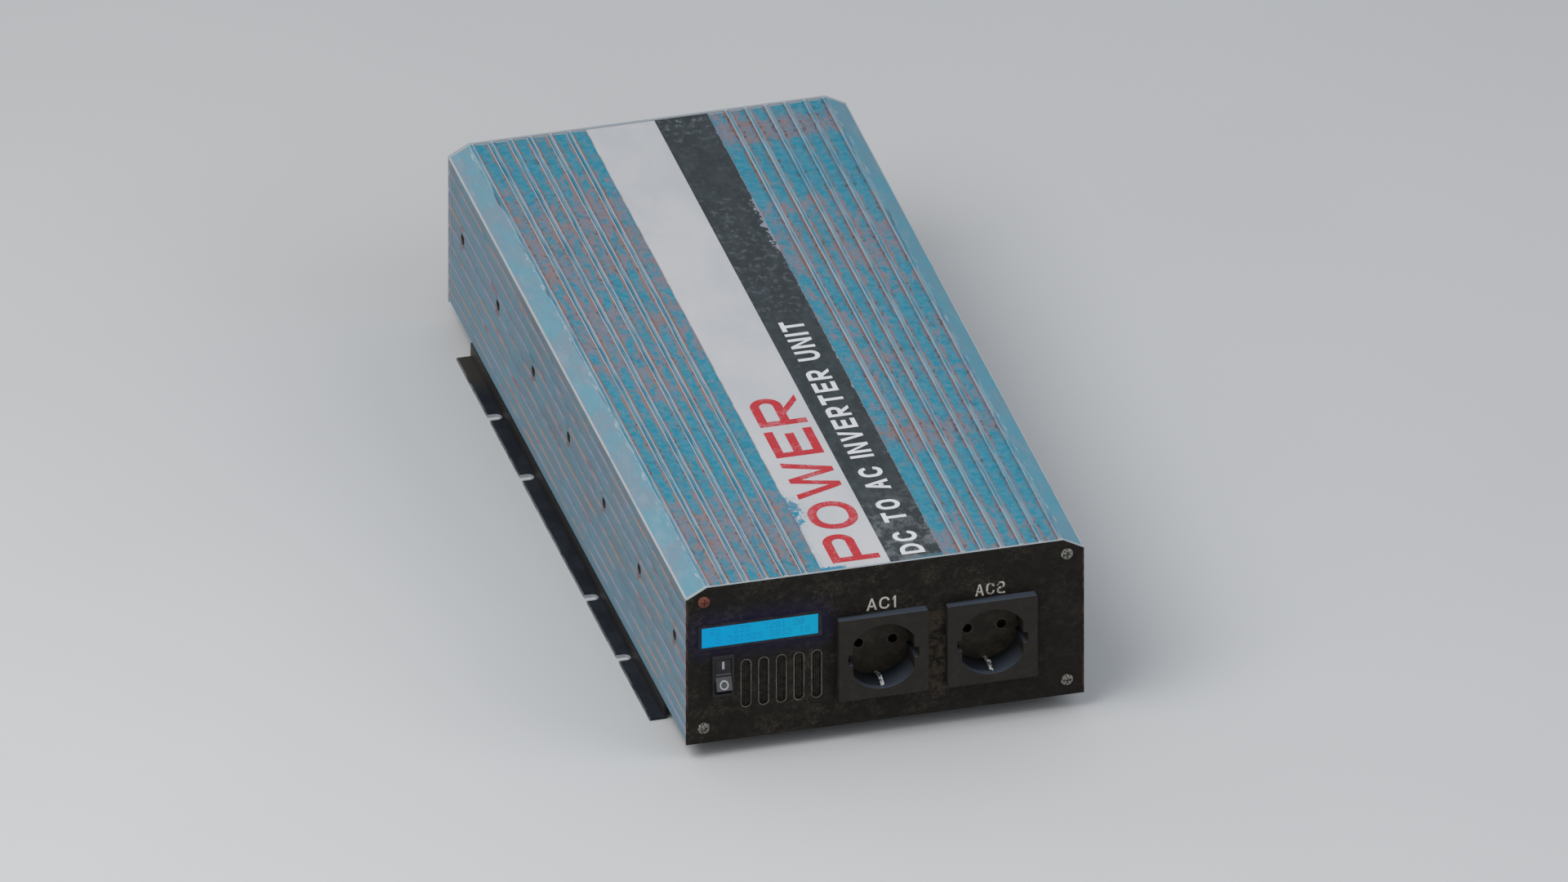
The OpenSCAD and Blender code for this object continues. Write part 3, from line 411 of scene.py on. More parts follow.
def panel_paint():
    s = Shader("panel_paint")
    patches = s.noise((17, 17, 14), 4, 0.6, 4.0)
    smear = s.noise((4.4, 4.4, 3.4), 5, 0.72, 6.0, 0.15)
    fine = s.noise(1.1, 4, 0.72, 12.0)
    colour = s.mix(s.rise(smear, 0.4, 0.62), rgb(25, 23, 20), rgb(34, 31, 27))
    dusty = s.times(s.rise(s.plus(s.times(patches, 0.6), s.times(smear, 0.4)), 0.47, 0.62),
                    s.rise(fine, 0.4, 0.64))
    to_right = s.rise(s.x, HALF_W - 45, HALF_W - 25)
    colour = s.mix(s.times(dusty, s.minus(0.75, s.times(to_right, 0.4))), colour, rgb(68, 61, 51))
    gap_x = (box_mm("socket_1_body")[1].x + box_mm("socket_2_body")[0].x) / 2
    scuffed = s.times(s.band(s.x, gap_x, 3, 7), s.band(s.z, shell_lo.z + 38, 16, 16),
                      s.rise(smear, 0.4, 0.62), s.plus(0.3, s.times(fine, 0.9)))
    colour = s.mix(s.times(scuffed, 0.6), colour, rgb(92, 79, 64))
    dust = s.clouds(0.8, 0.68, 0.74, 19.0, 2)
    colour = s.mix(s.times(dust, 0.35), colour, rgb(104, 96, 86))

    # Thin rubbed outlines round the vent slots, on the front face only
    dx = s.within(s.minus(s.x, VENT_X), VENT_PITCH)
    dz = s.beyond(s.z, VENT_HEIGHT + shell_lo.z, (VENT_H - VENT_W) / 2)
    among_vents = s.band(s.x, VENT_X + (VENT_COUNT - 1) / 2 * VENT_PITCH,
                         VENT_COUNT / 2 * VENT_PITCH, 0.1)
    outline = s.times(s.band(s.reach(dx, dz), VENT_W / 2 + 0.22, 0.16, 0.2), among_vents,
                      s.rise(s.facing_y, -0.7, -0.9),
                      s.plus(0.45, s.times(s.clouds(4, 0.35, 0.6, 23.0), 0.55)))
    colour = s.mix(outline, colour, rgb(112, 105, 98))

    # The rims of both panels: pale along the roof, rusty or rubbed down the sides
    high = s.rise(s.z, panel_hi.z - BEVEL_H - 1, panel_hi.z - BEVEL_H)
    rim = s.times(high, s.rise(s.facing_z, 0.4, 0.6), s.plus(0.55, s.times(fine, 0.5)))
    roof_z = shell_hi.z - RIB_H
    past_case = s.most(s.rise(s.z, roof_z - 0.5, roof_z - 0.3),
                       s.rise(s.size(s.x), HALF_W - 0.9, HALF_W - 0.7))
    behind = s.times(s.most(s.rise(s.y, 0, 1), s.rise(s.facing_y, 0.5, 0.7)), past_case)
    colour = s.mix(s.most(rim, s.times(behind, 0.8)), colour, rgb(176, 184, 192))
    side_rim = s.times(s.rise(s.size(s.x), HALF_W - 1.2, HALF_W - 0.4), s.rise(s.y, 1, 0),
                       s.clouds(6, 0.42, 0.6, 29.0))
    colour = s.mix(s.times(side_rim, 0.6), colour, rgb(96, 66, 52))

    # Light from the display spills over the panel round it
    lo, hi = box_mm("display_frame")
    inset, spill = 4, 22
    gx = s.beyond(s.x, (lo.x + hi.x) / 2, (hi.x - lo.x) / 2 - inset)
    gz = s.beyond(s.z, (lo.z + hi.z) / 2, (hi.z - lo.z) / 2 - inset)
    fade = s.rise(s.reach(gx, gz), spill, 0)
    glow = s.times(fade, fade, s.rise(s.y, 0, -1))
    rough = s.plus(0.5, s.times(smear, 0.25))
    return s.finish(colour, rough, 0.0, s.plus(smear, s.times(fine, 0.6)), 0.06,
                    Specular_IOR_Level=0.15, Emission_Color=rgb(70, 72, 200),
                    Emission_Strength=s.times(glow, 0.035))


def simple(name, tone, accent, size, rough, metal=0.0, depth=0.03, spread=(0.42, 0.62),
           specular=0.3):
    """A finish of two mixed tones with fine grain, for the plainer parts.

    size is that of the tones' patches and depth that of the grain, in millimetres; spread is the
    stretch of the noise over which one tone turns into the other.
    """
    s = Shader(name)
    cloud = s.noise(size, 4, 0.62, 1.0)
    colour = s.mix(s.rise(cloud, *spread), tone, accent)
    return s.finish(colour, s.plus(rough - 0.08, s.times(cloud, 0.2)), metal,
                    s.noise(size / 7, 3, 0.6, 6.0), depth, Specular_IOR_Level=specular)


def socket_plastic():
    s = Shader("socket_plastic")
    lo, hi = box_mm("socket_1_body")
    next_x = box_mm("socket_2_body")[0].x - lo.x
    deep = s.minus(s.y, lo.y)
    across = s.within(s.minus(s.x, (lo.x + hi.x) / 2), next_x)
    cloud = s.noise((7, 7, 7), 4, 0.62, 5.0)
    fine = s.noise(1.0, 4, 0.7, 9.0)
    plate = s.mix(s.rise(cloud, 0.42, 0.68), rgb(37, 35, 31), rgb(46, 42, 37))
    floor = s.mix(s.rise(s.plus(s.times(fine, 0.35), s.times(cloud, 0.65)), 0.4, 0.66),
                  rgb(44, 40, 33), rgb(70, 63, 52))
    # A faint lighter ring round each pin hole: a painted highlight on the hole's rim
    from_pin = s.reach(s.minus(s.size(across), SOCKET_PIN_PITCH / 2),
                       s.minus(s.z, (lo.z + hi.z) / 2))
    pin_rim_highlight = s.times(s.band(from_pin, SOCKET_PIN_R + 0.5, 0.15, 0.25),
                      s.clouds(4, 0.35, 0.6, 15.0))
    floor = s.mix(s.times(pin_rim_highlight, 0.5), floor, rgb(98, 92, 82))
    colour = s.mix(s.rise(deep, RECESS_DEPTH - 2, RECESS_DEPTH - 0.5), plate, floor)

    # Faces that look upwards catch the sky: in the recess, mostly the outer right of its wall
    shade = s.times(s.rise(across, -17, 15), s.rise(deep, RECESS_DEPTH + 1, 4))
    sky = s.mix(s.most(shade, s.rise(deep, 4.5, 3)), rgb(26, 29, 34), rgb(68, 76, 89))
    colour = s.mix(s.times(s.rise(s.facing_z, 0.2, 0.95), 0.9), colour, sky)
    # Paler bluish front edges, partly rubbed wear and partly a painted sky sheen
    worn_edge_and_sheen = s.times(s.rise(deep, 0.7, 0.1), s.rise(s.size(s.facing_z), 0.5, 0.8),
                        s.rise(fine, 0.3, 0.6))
    colour = s.mix(s.times(worn_edge_and_sheen, 0.35), colour, rgb(110, 112, 122))
    return s.finish(colour, s.plus(0.4, s.times(fine, 0.25)), 0.0, s.plus(cloud, fine), 0.04,
                    Specular_IOR_Level=0.22)


def light_film():
    s = Shader("light_film")
    colour = s.mix(s.clouds((40, 70, 40), 0.35, 0.65, 3.0, 4),
                   rgb(196, 197, 200), rgb(188, 190, 194))
    grey = s.times(s.clouds((2.4, 6, 2.4), 0.62, 0.76, 7.0, 4, 0.7), 0.3)
    colour = s.mix(grey, colour, rgb(156, 158, 166))
    lo = box_mm("light_label")[0]
    from_front = s.minus(s.y, lo.y)
    from_left = s.minus(s.x, lo.x)
    ragged = s.noise((2.6, 4, 2.6), 5, 0.72, 13.0)
    depth = s.times(s.band(from_front, 66, 6, 18), s.rise(ragged, 0.3, 0.68), 9.0)
    torn = s.rise(s.minus(depth, from_left), 0.0, 1.6)
    at_corner = s.times(s.rise(s.minus(s.times(ragged, 9), from_front), 0.0, 1.0),
                        s.band(from_left, 6, 6, 3))
    torn = s.most(torn, at_corner)
    tinted = s.times(s.rise(s.minus(s.plus(depth, 4.5), from_left), 0.0, 5.0),
                     s.rise(from_front, 96, 78), s.rise(ragged, 0.36, 0.62))
    colour = s.mix(s.times(tinted, 0.55), colour, rgb(140, 168, 186))
    paint = s.mix(s.clouds(4, 0.4, 0.6, 17.0), rgb(46, 138, 170), rgb(108, 140, 162))
    colour = s.mix(torn, colour, paint)
    # A thin brownish line along the label's left edge: painted shade where the label's edge meets
    # the roof
    hem = s.times(s.rise(from_left, 0.8, 0.2), s.clouds((3, 12, 3), 0.3, 0.56, 19.0))
    colour = s.mix(s.times(hem, 0.6), colour, rgb(128, 104, 100))
    return s.finish(colour, s.plus(0.5, s.times(torn, 0.2)), 0.0, s.noise(1.5, 3, 0.6, 2.0), 0.02,
                    Specular_IOR_Level=0.25)


def dark_film():
    s = Shader("dark_film")
    lo, hi = box_mm("dark_label")
    to_right, to_rear = s.minus(hi.x, s.x), s.minus(hi.y, s.y)
    from_front = s.minus(s.y, lo.y)
    fine = s.noise(1.4, 4, 0.7, 27.0)
    colour = s.mix(s.clouds((10, 20, 10), 0.4, 0.62, 23.0, 4), rgb(48, 56, 60), rgb(58, 66, 71))
    haze = s.most(s.rise(from_front, 50, 4), s.rise(to_rear, 40, 0),
                  s.times(s.band(to_rear, 150, 50, 30), 0.45))
    scuffs = s.times(s.clouds((3.4, 4.2, 3.4), 0.5, 0.7, 33.0, 4, 0.65), s.rise(fine, 0.25, 0.6),
                     s.plus(0.12, s.times(haze, 0.55)))
    colour = s.mix(scuffs, colour, rgb(140, 148, 153))

    hazy = s.times(s.rise(from_front, 95, 30), s.clouds((6, 8, 6), 0.44, 0.66, 35.0, 4))
    colour = s.mix(s.times(hazy, 0.68), colour, rgb(124, 130, 133))
    bare = s.times(s.rise(s.minus(s.times(fine, 9), from_front), 0.0, 2.5), s.rise(to_right, 24, 8))
    colour = s.mix(s.times(bare, 0.8), colour, rgb(74, 122, 142))

    # The right edge is a pale line; it is chipped away further for a stretch near the rear
    chipped = s.band(to_rear, 122, 22, 10)
    ragged = s.noise((3.2, 5, 3.2), 5, 0.7, 37.0)
    depth = s.plus(0.45, s.times(s.rise(ragged, 0.5, 0.7), 0.9),
                   s.times(chipped, s.rise(ragged, 0.35, 0.65), 3.4))
    torn = s.rise(s.minus(depth, to_right), 0.0, 0.5)
    colour = s.mix(s.times(torn, 0.85), colour, s.mix(fine, rgb(176, 172, 182), rgb(128, 146, 160)))
    return s.finish(colour, s.plus(0.48, s.times(fine, 0.2)), 0.0, fine, 0.03,
                    Specular_IOR_Level=0.25)


def print_ink(name, ink, under, wear, size=4.0):
    """Printed lettering, rubbed away to what is under it."""
    s = Shader(name)
    rubbed = s.plus(s.times(s.noise(size, 3, 0.6, 3.0), 0.5),
                    s.times(s.noise(0.9, 3, 0.7, 6.0), 0.5))
    return s.finish(s.mix(s.rise(rubbed, 0.62 - wear, 0.7 - wear), ink, under), 0.55, 0.0,
                    s.noise(1.5, 2, 0.6, 8.0), 0.01, Specular_IOR_Level=0.25)


def tray_paint():
    s = Shader("tray_paint")
    cloud = s.noise((12, 18, 12), 4, 0.65, 5.0)
    fine = s.noise(1.6, 4, 0.7, 9.0)
    away = s.size(s.x)
    colour = s.mix(s.rise(cloud, 0.4, 0.65), rgb(28, 33, 41), rgb(38, 43, 50))
    wall = s.times(s.rise(away, HALF_W + 0.9, HALF_W + 0.4), s.rise(s.z, 2.0, 3.0))
    colour = s.mix(s.times(wall, s.plus(0.4, s.times(fine, 0.6))), colour, rgb(38, 31, 26))
    rear = s.rise(s.y, tray_hi.y - 46, tray_hi.y - 16)
    colour = s.mix(s.times(rear, 0.7), colour, s.mix(fine, rgb(50, 47, 43), rgb(76, 71, 64)))
    rim = s.times(s.rise(away, tray_hi.x - 0.7, tray_hi.x - 0.3),
                  s.clouds((2, 12, 2), 0.3, 0.6, 13.0))
    dy = s.size(s.within(s.minus(s.y, MIDDLE_Y), NOTCH_PITCH))
    dx = s.most(s.minus(tray_hi.x - NOTCH_DEPTH + NOTCH_W / 2, away), 0.0)
    has_notch = s.times(s.band(s.size(s.minus(s.y, MIDDLE_Y)), 1.5 * NOTCH_PITCH,
                               NOTCH_PITCH * 0.75, 0.5),
                        s.rise(s.z, 3.0, 2.0))
    lip = s.times(s.band(s.reach(dx, dy), NOTCH_W / 2 + 0.15, 0.4, 0.35), has_notch)
    bare = s.most(s.times(rim, 0.35), s.times(lip, 0.95))
    colour = s.mix(bare, colour, rgb(180, 184, 190))
    return s.finish(colour, s.minus(0.5, s.times(bare, 0.2)), s.times(bare, 0.4),
                    s.plus(cloud, fine), 0.05, Specular_IOR_Level=0.2)


def panel_screw_steel():
    s = Shader("panel_screw_steel")
    dirt = s.noise(1.1, 4, 0.7, 3.0)
    colour = s.mix(s.rise(dirt, 0.4, 0.6), rgb(168, 168, 160), rgb(52, 46, 38))
    # Only the upper left screw in front is rusty
    rusty_x, rusty_z = -90, 85
    rusty = s.times(s.rise(s.x, rusty_x, rusty_x - 6), s.rise(s.z, rusty_z, rusty_z + 5),
                    s.rise(s.y, 0, -1))
    colour = s.mix(rusty, colour, s.mix(s.rise(dirt, 0.4, 0.6), rgb(128, 70, 50), rgb(94, 52, 42)))
    return s.finish(colour, s.plus(0.32, s.times(s.most(dirt, rusty), 0.45)),
                    s.minus(0.8, s.times(rusty, 0.7)), dirt, 0.15)


def lit_window():
    s = Shader("lit_window")
    lo, hi = box_mm("display_module")
    colour = s.mix(s.rise(s.x, lo.x, hi.x), rgb(4, 150, 204), rgb(14, 157, 198))
    front = s.rise(s.y, lo.y + 1, lo.y + 0.5)
    strength = s.times(front, s.plus(0.86, s.times(s.noise(14, 2, 0.5, 4.0), 0.12)))
    return s.finish(rgb(3, 8, 12), 0.35, 0.0, s.noise(3, 2, 0.5), 0.005, Specular_IOR_Level=0.1,
                    Emission_Color=colour, Emission_Strength=strength)


def display_ink():
    s = Shader("display_ink")
    faint = s.clouds(7, 0.35, 0.65, 3.0)
    return s.finish(rgb(6, 14, 24), 0.4, 0.0, s.noise(2, 2, 0.5), 0.005, Specular_IOR_Level=0.15,
                    Emission_Color=s.mix(faint, rgb(8, 124, 180), rgb(10, 138, 190)),
                    Emission_Strength=0.85)


def switch_plastic(name, tone, lit_tone):
    """Dark plastic whose upward faces look lighter under the sky."""
    s = Shader(name)
    cloud = s.noise(4, 4, 0.62, 3.0)
    plain = s.mix(s.rise(cloud, 0.4, 0.65), tone, tuple(v * 1.5 for v in tone))
    lit = s.mix(s.rise(cloud, 0.4, 0.65), lit_tone, tuple(v * 1.25 for v in lit_tone))
    colour = s.mix(s.rise(s.facing_z, 0.2, 0.34), plain, lit)
    return s.finish(colour, s.plus(0.36, s.times(cloud, 0.2)), 0.0, s.noise(0.7, 3, 0.6, 4.0), 0.03,
                    Specular_IOR_Level=0.25)


# Dull wire colour for the vent screen: painted shade for the inside of the vent slots
def shade_screen_wire():
    s = Shader("shade_screen_wire")
    return s.finish(s.mix(s.clouds(3, 0.4, 0.6, 2.0), rgb(64, 60, 56), rgb(48, 44, 39)), 0.6, 0.0,
                    s.noise(0.6, 2, 0.6), 0.01, Specular_IOR_Level=0.2)


# Plainer finishes. Each: its main and second tone, the size of their patches in millimetres and its
# roughness, and where they differ from what simple() has, its metal, bump depth and spread
SIMPLE_FINISHES = {
    "zinc_steel": (rgb(168, 170, 170), rgb(132, 128, 118), 5, 0.35, 0.85),
    "rusty_steel": (rgb(58, 38, 29), rgb(32, 24, 20), 1.6, 0.75, 0.2, 0.1),
    "plate_steel": (rgb(96, 98, 100), rgb(78, 78, 76), 14, 0.45, 0.6),
    "spring_steel": (rgb(236, 238, 240), rgb(84, 83, 80), 2.2, 0.3, 0.35, 0.05, (0.44, 0.54)),
    "brass": (rgb(206, 164, 84), rgb(158, 116, 56), 4, 0.35, 0.9),
    "fan_plastic": (rgb(50, 50, 54), rgb(66, 62, 60), 6, 0.5),
    "guard_wire": (rgb(176, 178, 180), rgb(120, 112, 102), 3, 0.35, 0.85),
    "red_plastic": (rgb(164, 36, 34), rgb(120, 30, 30), 5, 0.45),
    "black_plastic": (rgb(28, 28, 29), rgb(42, 39, 37), 5, 0.5),
    "copper": (rgb(196, 116, 78), rgb(142, 78, 54), 6, 0.35, 0.9),
    "board_green": (rgb(24, 88, 52), rgb(18, 70, 44), 9, 0.45),
    "aluminium": (rgb(178, 180, 182), rgb(150, 152, 156), 10, 0.4, 0.85),
    "ferrite": (rgb(50, 50, 54), rgb(62, 60, 60), 3, 0.7, 0.0, 0.08),
    "enamelled_wire": (rgb(168, 92, 44), rgb(130, 64, 32), 2, 0.35, 0.5, 0.15),
    "can_sleeve": (rgb(32, 40, 66), rgb(24, 30, 50), 6, 0.4),
    "orange_plastic": (rgb(214, 116, 36), rgb(180, 92, 30), 4, 0.4),
    "film_case": (rgb(206, 170, 44), rgb(180, 140, 36), 6, 0.4),
}

FINISHES = {
    "case_paint": case_paint(),
    "panel_paint": panel_paint(),
    "tray_paint": tray_paint(),
    "light_film": light_film(),
    "dark_film": dark_film(),
    "panel_screw_steel": panel_screw_steel(),
    "lit_window": lit_window(),
    "socket_plastic": socket_plastic(),
    "frame_plastic": simple("frame_plastic", rgb(36, 33, 42), rgb(48, 44, 54), 7, 0.5,
                            specular=0.2),
    "switch_plastic": switch_plastic("switch_plastic", rgb(34, 32, 32), rgb(58, 56, 60)),
    "rocker_plastic": switch_plastic("rocker_plastic", rgb(36, 35, 38), rgb(78, 78, 81)),
    **{name: simple(name, *values) for name, values in SIMPLE_FINISHES.items()},
}

NODE_FINISHES = {
    "case_paint": ["case_shell"],
    "panel_paint": ["front_panel", "rear_panel"],
    "tray_paint": ["mounting_tray"],
    "light_film": ["light_label"],
    "dark_film": ["dark_label"],
    "panel_screw_steel": ["front_panel_screws", "rear_panel_screws"],
    "lit_window": ["display_module"],
    "zinc_steel": ["base_screws", "display_standoffs", "display_screws", "socket_screws",
                   "fan_screws", "stud_washers", "earth_nuts", "board_standoffs", "board_screws"],
    "rusty_steel": ["left_side_screws", "right_side_screws"],
    "plate_steel": ["bottom_plate"],
    "frame_plastic": ["display_frame"],
    "switch_plastic": ["switch_housing"],
    "rocker_plastic": ["switch_rocker"],
    "socket_plastic": ["socket_1_body", "socket_2_body"],
    "spring_steel": ["socket_1_earth_clips", "socket_2_earth_clips"],
    "brass": ["switch_terminals", "socket_1_contacts", "socket_2_contacts", "battery_studs",
              "stud_nuts", "earth_stud"],
    "fan_plastic": ["left_fan_frame", "right_fan_frame", "left_fan_rotor", "right_fan_rotor"],
    "guard_wire": ["left_fan_guard", "right_fan_guard"],
    "red_plastic": ["positive_insulator"],
    "black_plastic": ["negative_insulator", "stud_bushes", "left_transistors", "right_transistors",
                      "terminal_block"],
    "copper": ["bus_bars"],
    "board_green": ["main_board", "display_board", "control_board"],
    "aluminium": ["left_heat_bar", "right_heat_bar"],
    "ferrite": ["transformer_cores"],
    "enamelled_wire": ["transformer_windings", "output_chokes", "fan_stators"],
    "can_sleeve": ["input_capacitors", "storage_capacitors"],
    "orange_plastic": ["fuses"],
    "film_case": ["film_capacitors"],
}


def dress_nodes():
    for finish, names in NODE_FINISHES.items():
        for name in names:
            node = nodes[name]
            node.data.materials.clear()
            node.data.materials.append(FINISHES[finish])


# ---- Lettering and marks, drawn as flat bars ----

# Each glyph: its width against its height, its strokes and its filled shapes. A point is
# (across, up), from 0 to 1 along the strokes' middle lines, and may be followed by a shift in
# half strokes each way. A stroke that ends where it started is a closed loop.
GLYPHS = {
    "A": (1.05, [[(0.2, 0.3, 1.05, 0), (0.8, 0.3, -1.05, 0)]],
          [[(0, 0, -1, -1), (0.5, 1, -1, 1), (0.5, 1, 1, 1), (1, 0, 1, -1), (1, 0, -1.2, -1),
            (0.5, 1, 0, -1.6), (0, 0, 1.2, -1)]]),
    "C": (1, [[(1, 0.7), (1, 1), (0, 1), (0, 0), (1, 0), (1, 0.3)]], []),
    "D": (1, [[(0, 0, 0, -1), (0, 1, 0, 1)], [(0, 1, 1, 0), (1, 1), (1, 0), (0, 0, 1, 0)]], []),
    "E": (0.95, [[(0, 0, 0, -1), (0, 1, 0, 1)], [(0, 1, 1, 0), (1, 1, 1, 0)],
                 [(0, 0.5, 1, 0), (0.85, 0.5, 1, 0)], [(0, 0, 1, 0), (1, 0, 1, 0)]], []),
    "I": (0.2, [[(0.5, 0, 0, -1), (0.5, 1, 0, 1)]], []),
    "N": (1, [[(0, 0, 0, -1), (0, 1, 0, 1)], [(1, 0, 0, -1), (1, 1, 0, 1)]],
          [[(0, 1, 1, 1), (1, 0, -1, 1.8), (1, 0, -1, -1), (0, 1, 1, -1.8)]]),
    "O": (1, [[(0, 0), (0, 1), (1, 1), (1, 0), (0, 0)]], []),
    "P": (1, [[(0, 0, 0, -1), (0, 1, 0, 1)], [(0, 1, 1, 0), (1, 1), (1, 0.42), (0, 0.42, 1, 0)]],
          []),
    "R": (1, [[(0, 0, 0, -1), (0, 1, 0, 1)], [(0, 1, 1, 0), (1, 1), (1, 0.42), (0, 0.42, 1, 0)]],
          [[(0.5, 0.42, -1.2, -1), (0.5, 0.42, 1.2, -1), (1, 0, 1.2, -1), (1, 0, -1.2, -1)]]),
    "T": (1, [[(0, 1, -1, 0), (1, 1, 1, 0)], [(0.5, 1, 0, -1), (0.5, 0, 0, -1)]], []),
    "U": (1, [[(0, 1, 0, 1), (0, 0), (1, 0), (1, 1, 0, 1)]], []),
    "V": (1, [], [[(0, 1, -1, 1), (0, 1, 1.2, 1), (0.5, 0, 0, 1.6), (1, 1, -1.2, 1), (1, 1, 1, 1),
                   (0.5, 0, 1, -1), (0.5, 0, -1, -1)]]),
    "W": (1.35, [], [[(0, 1, -1, 1), (0, 1, 1.1, 1), (0.27, 0, 0, 1.6), (0.5, 1, -0.9, 1),
                      (0.5, 1, 0.9, 1), (0.73, 0, 0, 1.6), (1, 1, -1.1, 1), (1, 1, 1, 1),
                      (0.73, 0, 0.9, -1), (0.73, 0, -0.9, -1), (0.5, 1, 0, -1.6),
                      (0.27, 0, 0.9, -1), (0.27, 0, -0.9, -1)]]),
    "1": (0.45, [[(0.9, 0, 0, -1), (0.9, 1, 0, 1)]],
          [[(0.9, 1, -1, 1), (0, 0.8, 0, 0), (0, 0.8, 0, -2), (0.9, 1, -1, -1.4)]]),
    "2": (1, [[(0, 0.72), (0, 1), (1, 1), (1, 0.5), (0, 0.5), (0, 0), (1, 0, 1, 0)]], []),
    " ": (0.45, [], []),
}

# How far flat marks stand above the surface that they lie on, top and bottom, in millimetres
INK_TOP, INK_BOTTOM = 0.06, 0.01

# Steps in each rounded corner of a letter, and the least distance between its points
CORNER_STEPS, LEAST_GAP = 8, 1e-4

# Two points closer than this are one point. A stroke's mitre at a bend grows no longer than the
# stroke's width divided by twice LEAST_MITRE
SAME_POINT, LEAST_MITRE = 1e-6, 0.4

# Dot-matrix digits for the display: seven rows of five dots each, top row first
DIGIT_DOTS = {
    "0": (14, 17, 19, 21, 25, 17, 14),
    "1": (4, 12, 4, 4, 4, 4, 14),
    "2": (14, 17, 1, 2, 4, 8, 31),
    "3": (31, 2, 4, 2, 1, 17, 14),
    "5": (31, 16, 30, 1, 1, 17, 14),
    "8": (14, 17, 17, 14, 17, 17, 14),
}


def turned(vector, angle):
    """A flat vector turned anticlockwise."""
    return Matrix.Rotation(angle, 2) @ vector


def rounded(points, radius):
    """The same polyline with its corners turned into arcs."""
    closed = points[0] == points[-1]
    corners = points[:-1] if closed else points
    count = len(corners)
    result = []
    for i, corner in enumerate(corners):
        if not closed and i in (0, count - 1):
            result.append(corner)
            continue
        before, after = corners[i - 1], corners[(i + 1) % count]
        room = min((before - corner).length / (1 if not closed and i == 1 else 2),
                   (after - corner).length / (1 if not closed and i == count - 2 else 2))
        to_before, to_after = (before - corner).normalized(), (after - corner).normalized()
        half = math.acos(max(-1, min(1, to_before.dot(to_after)))) / 2
        cut = min(radius / math.tan(half), room)
        to_centre = cut * math.tan(half) / math.sin(half)
        centre = corner + (to_before + to_after).normalized() * to_centre
        start, end = corner + to_before * cut - centre, corner + to_after * cut - centre
        sweep = start.angle_signed(end)
        result += [centre + turned(start, -sweep * step / CORNER_STEPS)
                   for step in range(CORNER_STEPS + 1)]

    # Where two arcs meet, they leave the same point twice
    if closed:
        apart = [p for p, q in zip(result, result[1:] + result[:1]) if (p - q).length > LEAST_GAP]
        return apart + apart[:1]
    return [p for k, p in enumerate(result) if k == 0 or (p - result[k - 1]).length > LEAST_GAP]


def fill_shape(mesh, outline, place, top, bottom):
    """Adds a flat shape of some thickness. place(u, v, h) turns drawing coordinates into space."""
    upper = [mesh.verts.new(place(p.x, p.y, top)) for p in outline]
    lower = [mesh.verts.new(place(p.x, p.y, bottom)) for p in outline]
    mesh.faces.new(upper)
    mesh.faces.new(lower[::-1])
    for i in range(len(outline)):
        k = (i + 1) % len(outline)
        mesh.faces.new((upper[i], lower[i], lower[k], upper[k]))


def fill_stroke(mesh, path, width, place, top, bottom):
    """Adds a flat bar that follows a path."""
    closed = (path[0] - path[-1]).length < SAME_POINT
    points = path[:-1] if closed else path
    count = len(points)
    rows = []
    for i, point in enumerate(points):
        before = points[i - 1] if closed or i else point
        after = points[(i + 1) % count] if closed or i < count - 1 else point
        ways = [w.normalized() for w in (point - before, after - point) if w.length > SAME_POINT]
        way = (ways[0] + ways[-1]).normalized()
        mitre = max(LEAST_MITRE, way.dot(ways[0]))
        side = Vector((-way.y, way.x)) * (width / 2 / mitre)
        rows.append([mesh.verts.new(place(*(point + side * s), h))
                     for s, h in ((1, top), (-1, top), (-1, bottom), (1, bottom))])
    pairs = list(zip(rows, rows[1:] + rows[:1])) if closed else list(zip(rows, rows[1:]))
    for one, two in pairs:
        for k in range(4):
            mesh.faces.new((one[k], one[(k + 1) % 4], two[(k + 1) % 4], two[k]))
    if not closed:
        mesh.faces.new(rows[0][::-1])
        mesh.faces.new(rows[-1])


def new_piece(name, mesh, material, body):
    """Turns a finished bmesh into a named object that rides a body."""
    bmesh.ops.recalc_face_normals(mesh, faces=mesh.faces)
    data = bpy.data.meshes.new(name)
    mesh.to_mesh(data)
    mesh.free()
    data.materials.append(material)
    piece = bpy.data.objects.new(name, data)
    bpy.context.collection.objects.link(piece)
    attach(piece, body)


def lettering(name, text, length, height, stroke, place, material):
    """Words of a given length and height, both in millimetres."""
    widths = [GLYPHS[c][0] for c in text]
    gap = stroke * 1.15
    unit = (length - gap * (len(text) - 1)) / sum(widths)
    mesh = bmesh.new()
    start = 0.0
    for char, width in zip(text, widths):
        span = width * unit
        half = stroke / 2

        def at(across, up, right=0, higher=0):
            return Vector((start + half + across * max(span - stroke, 0) + right * half,
                           half + up * (height - stroke) + higher * half))

        for points in GLYPHS[char][1]:
            corners = [at(*p) for p in points]
            fill_stroke(mesh, rounded(corners, height / 2), stroke, place, INK_TOP, INK_BOTTOM)
        for points in GLYPHS[char][2]:
            fill_shape(mesh, [at(*p) for p in points], place, INK_TOP, INK_BOTTOM)
        start += span + gap
    new_piece(name, mesh, material, "chassis")


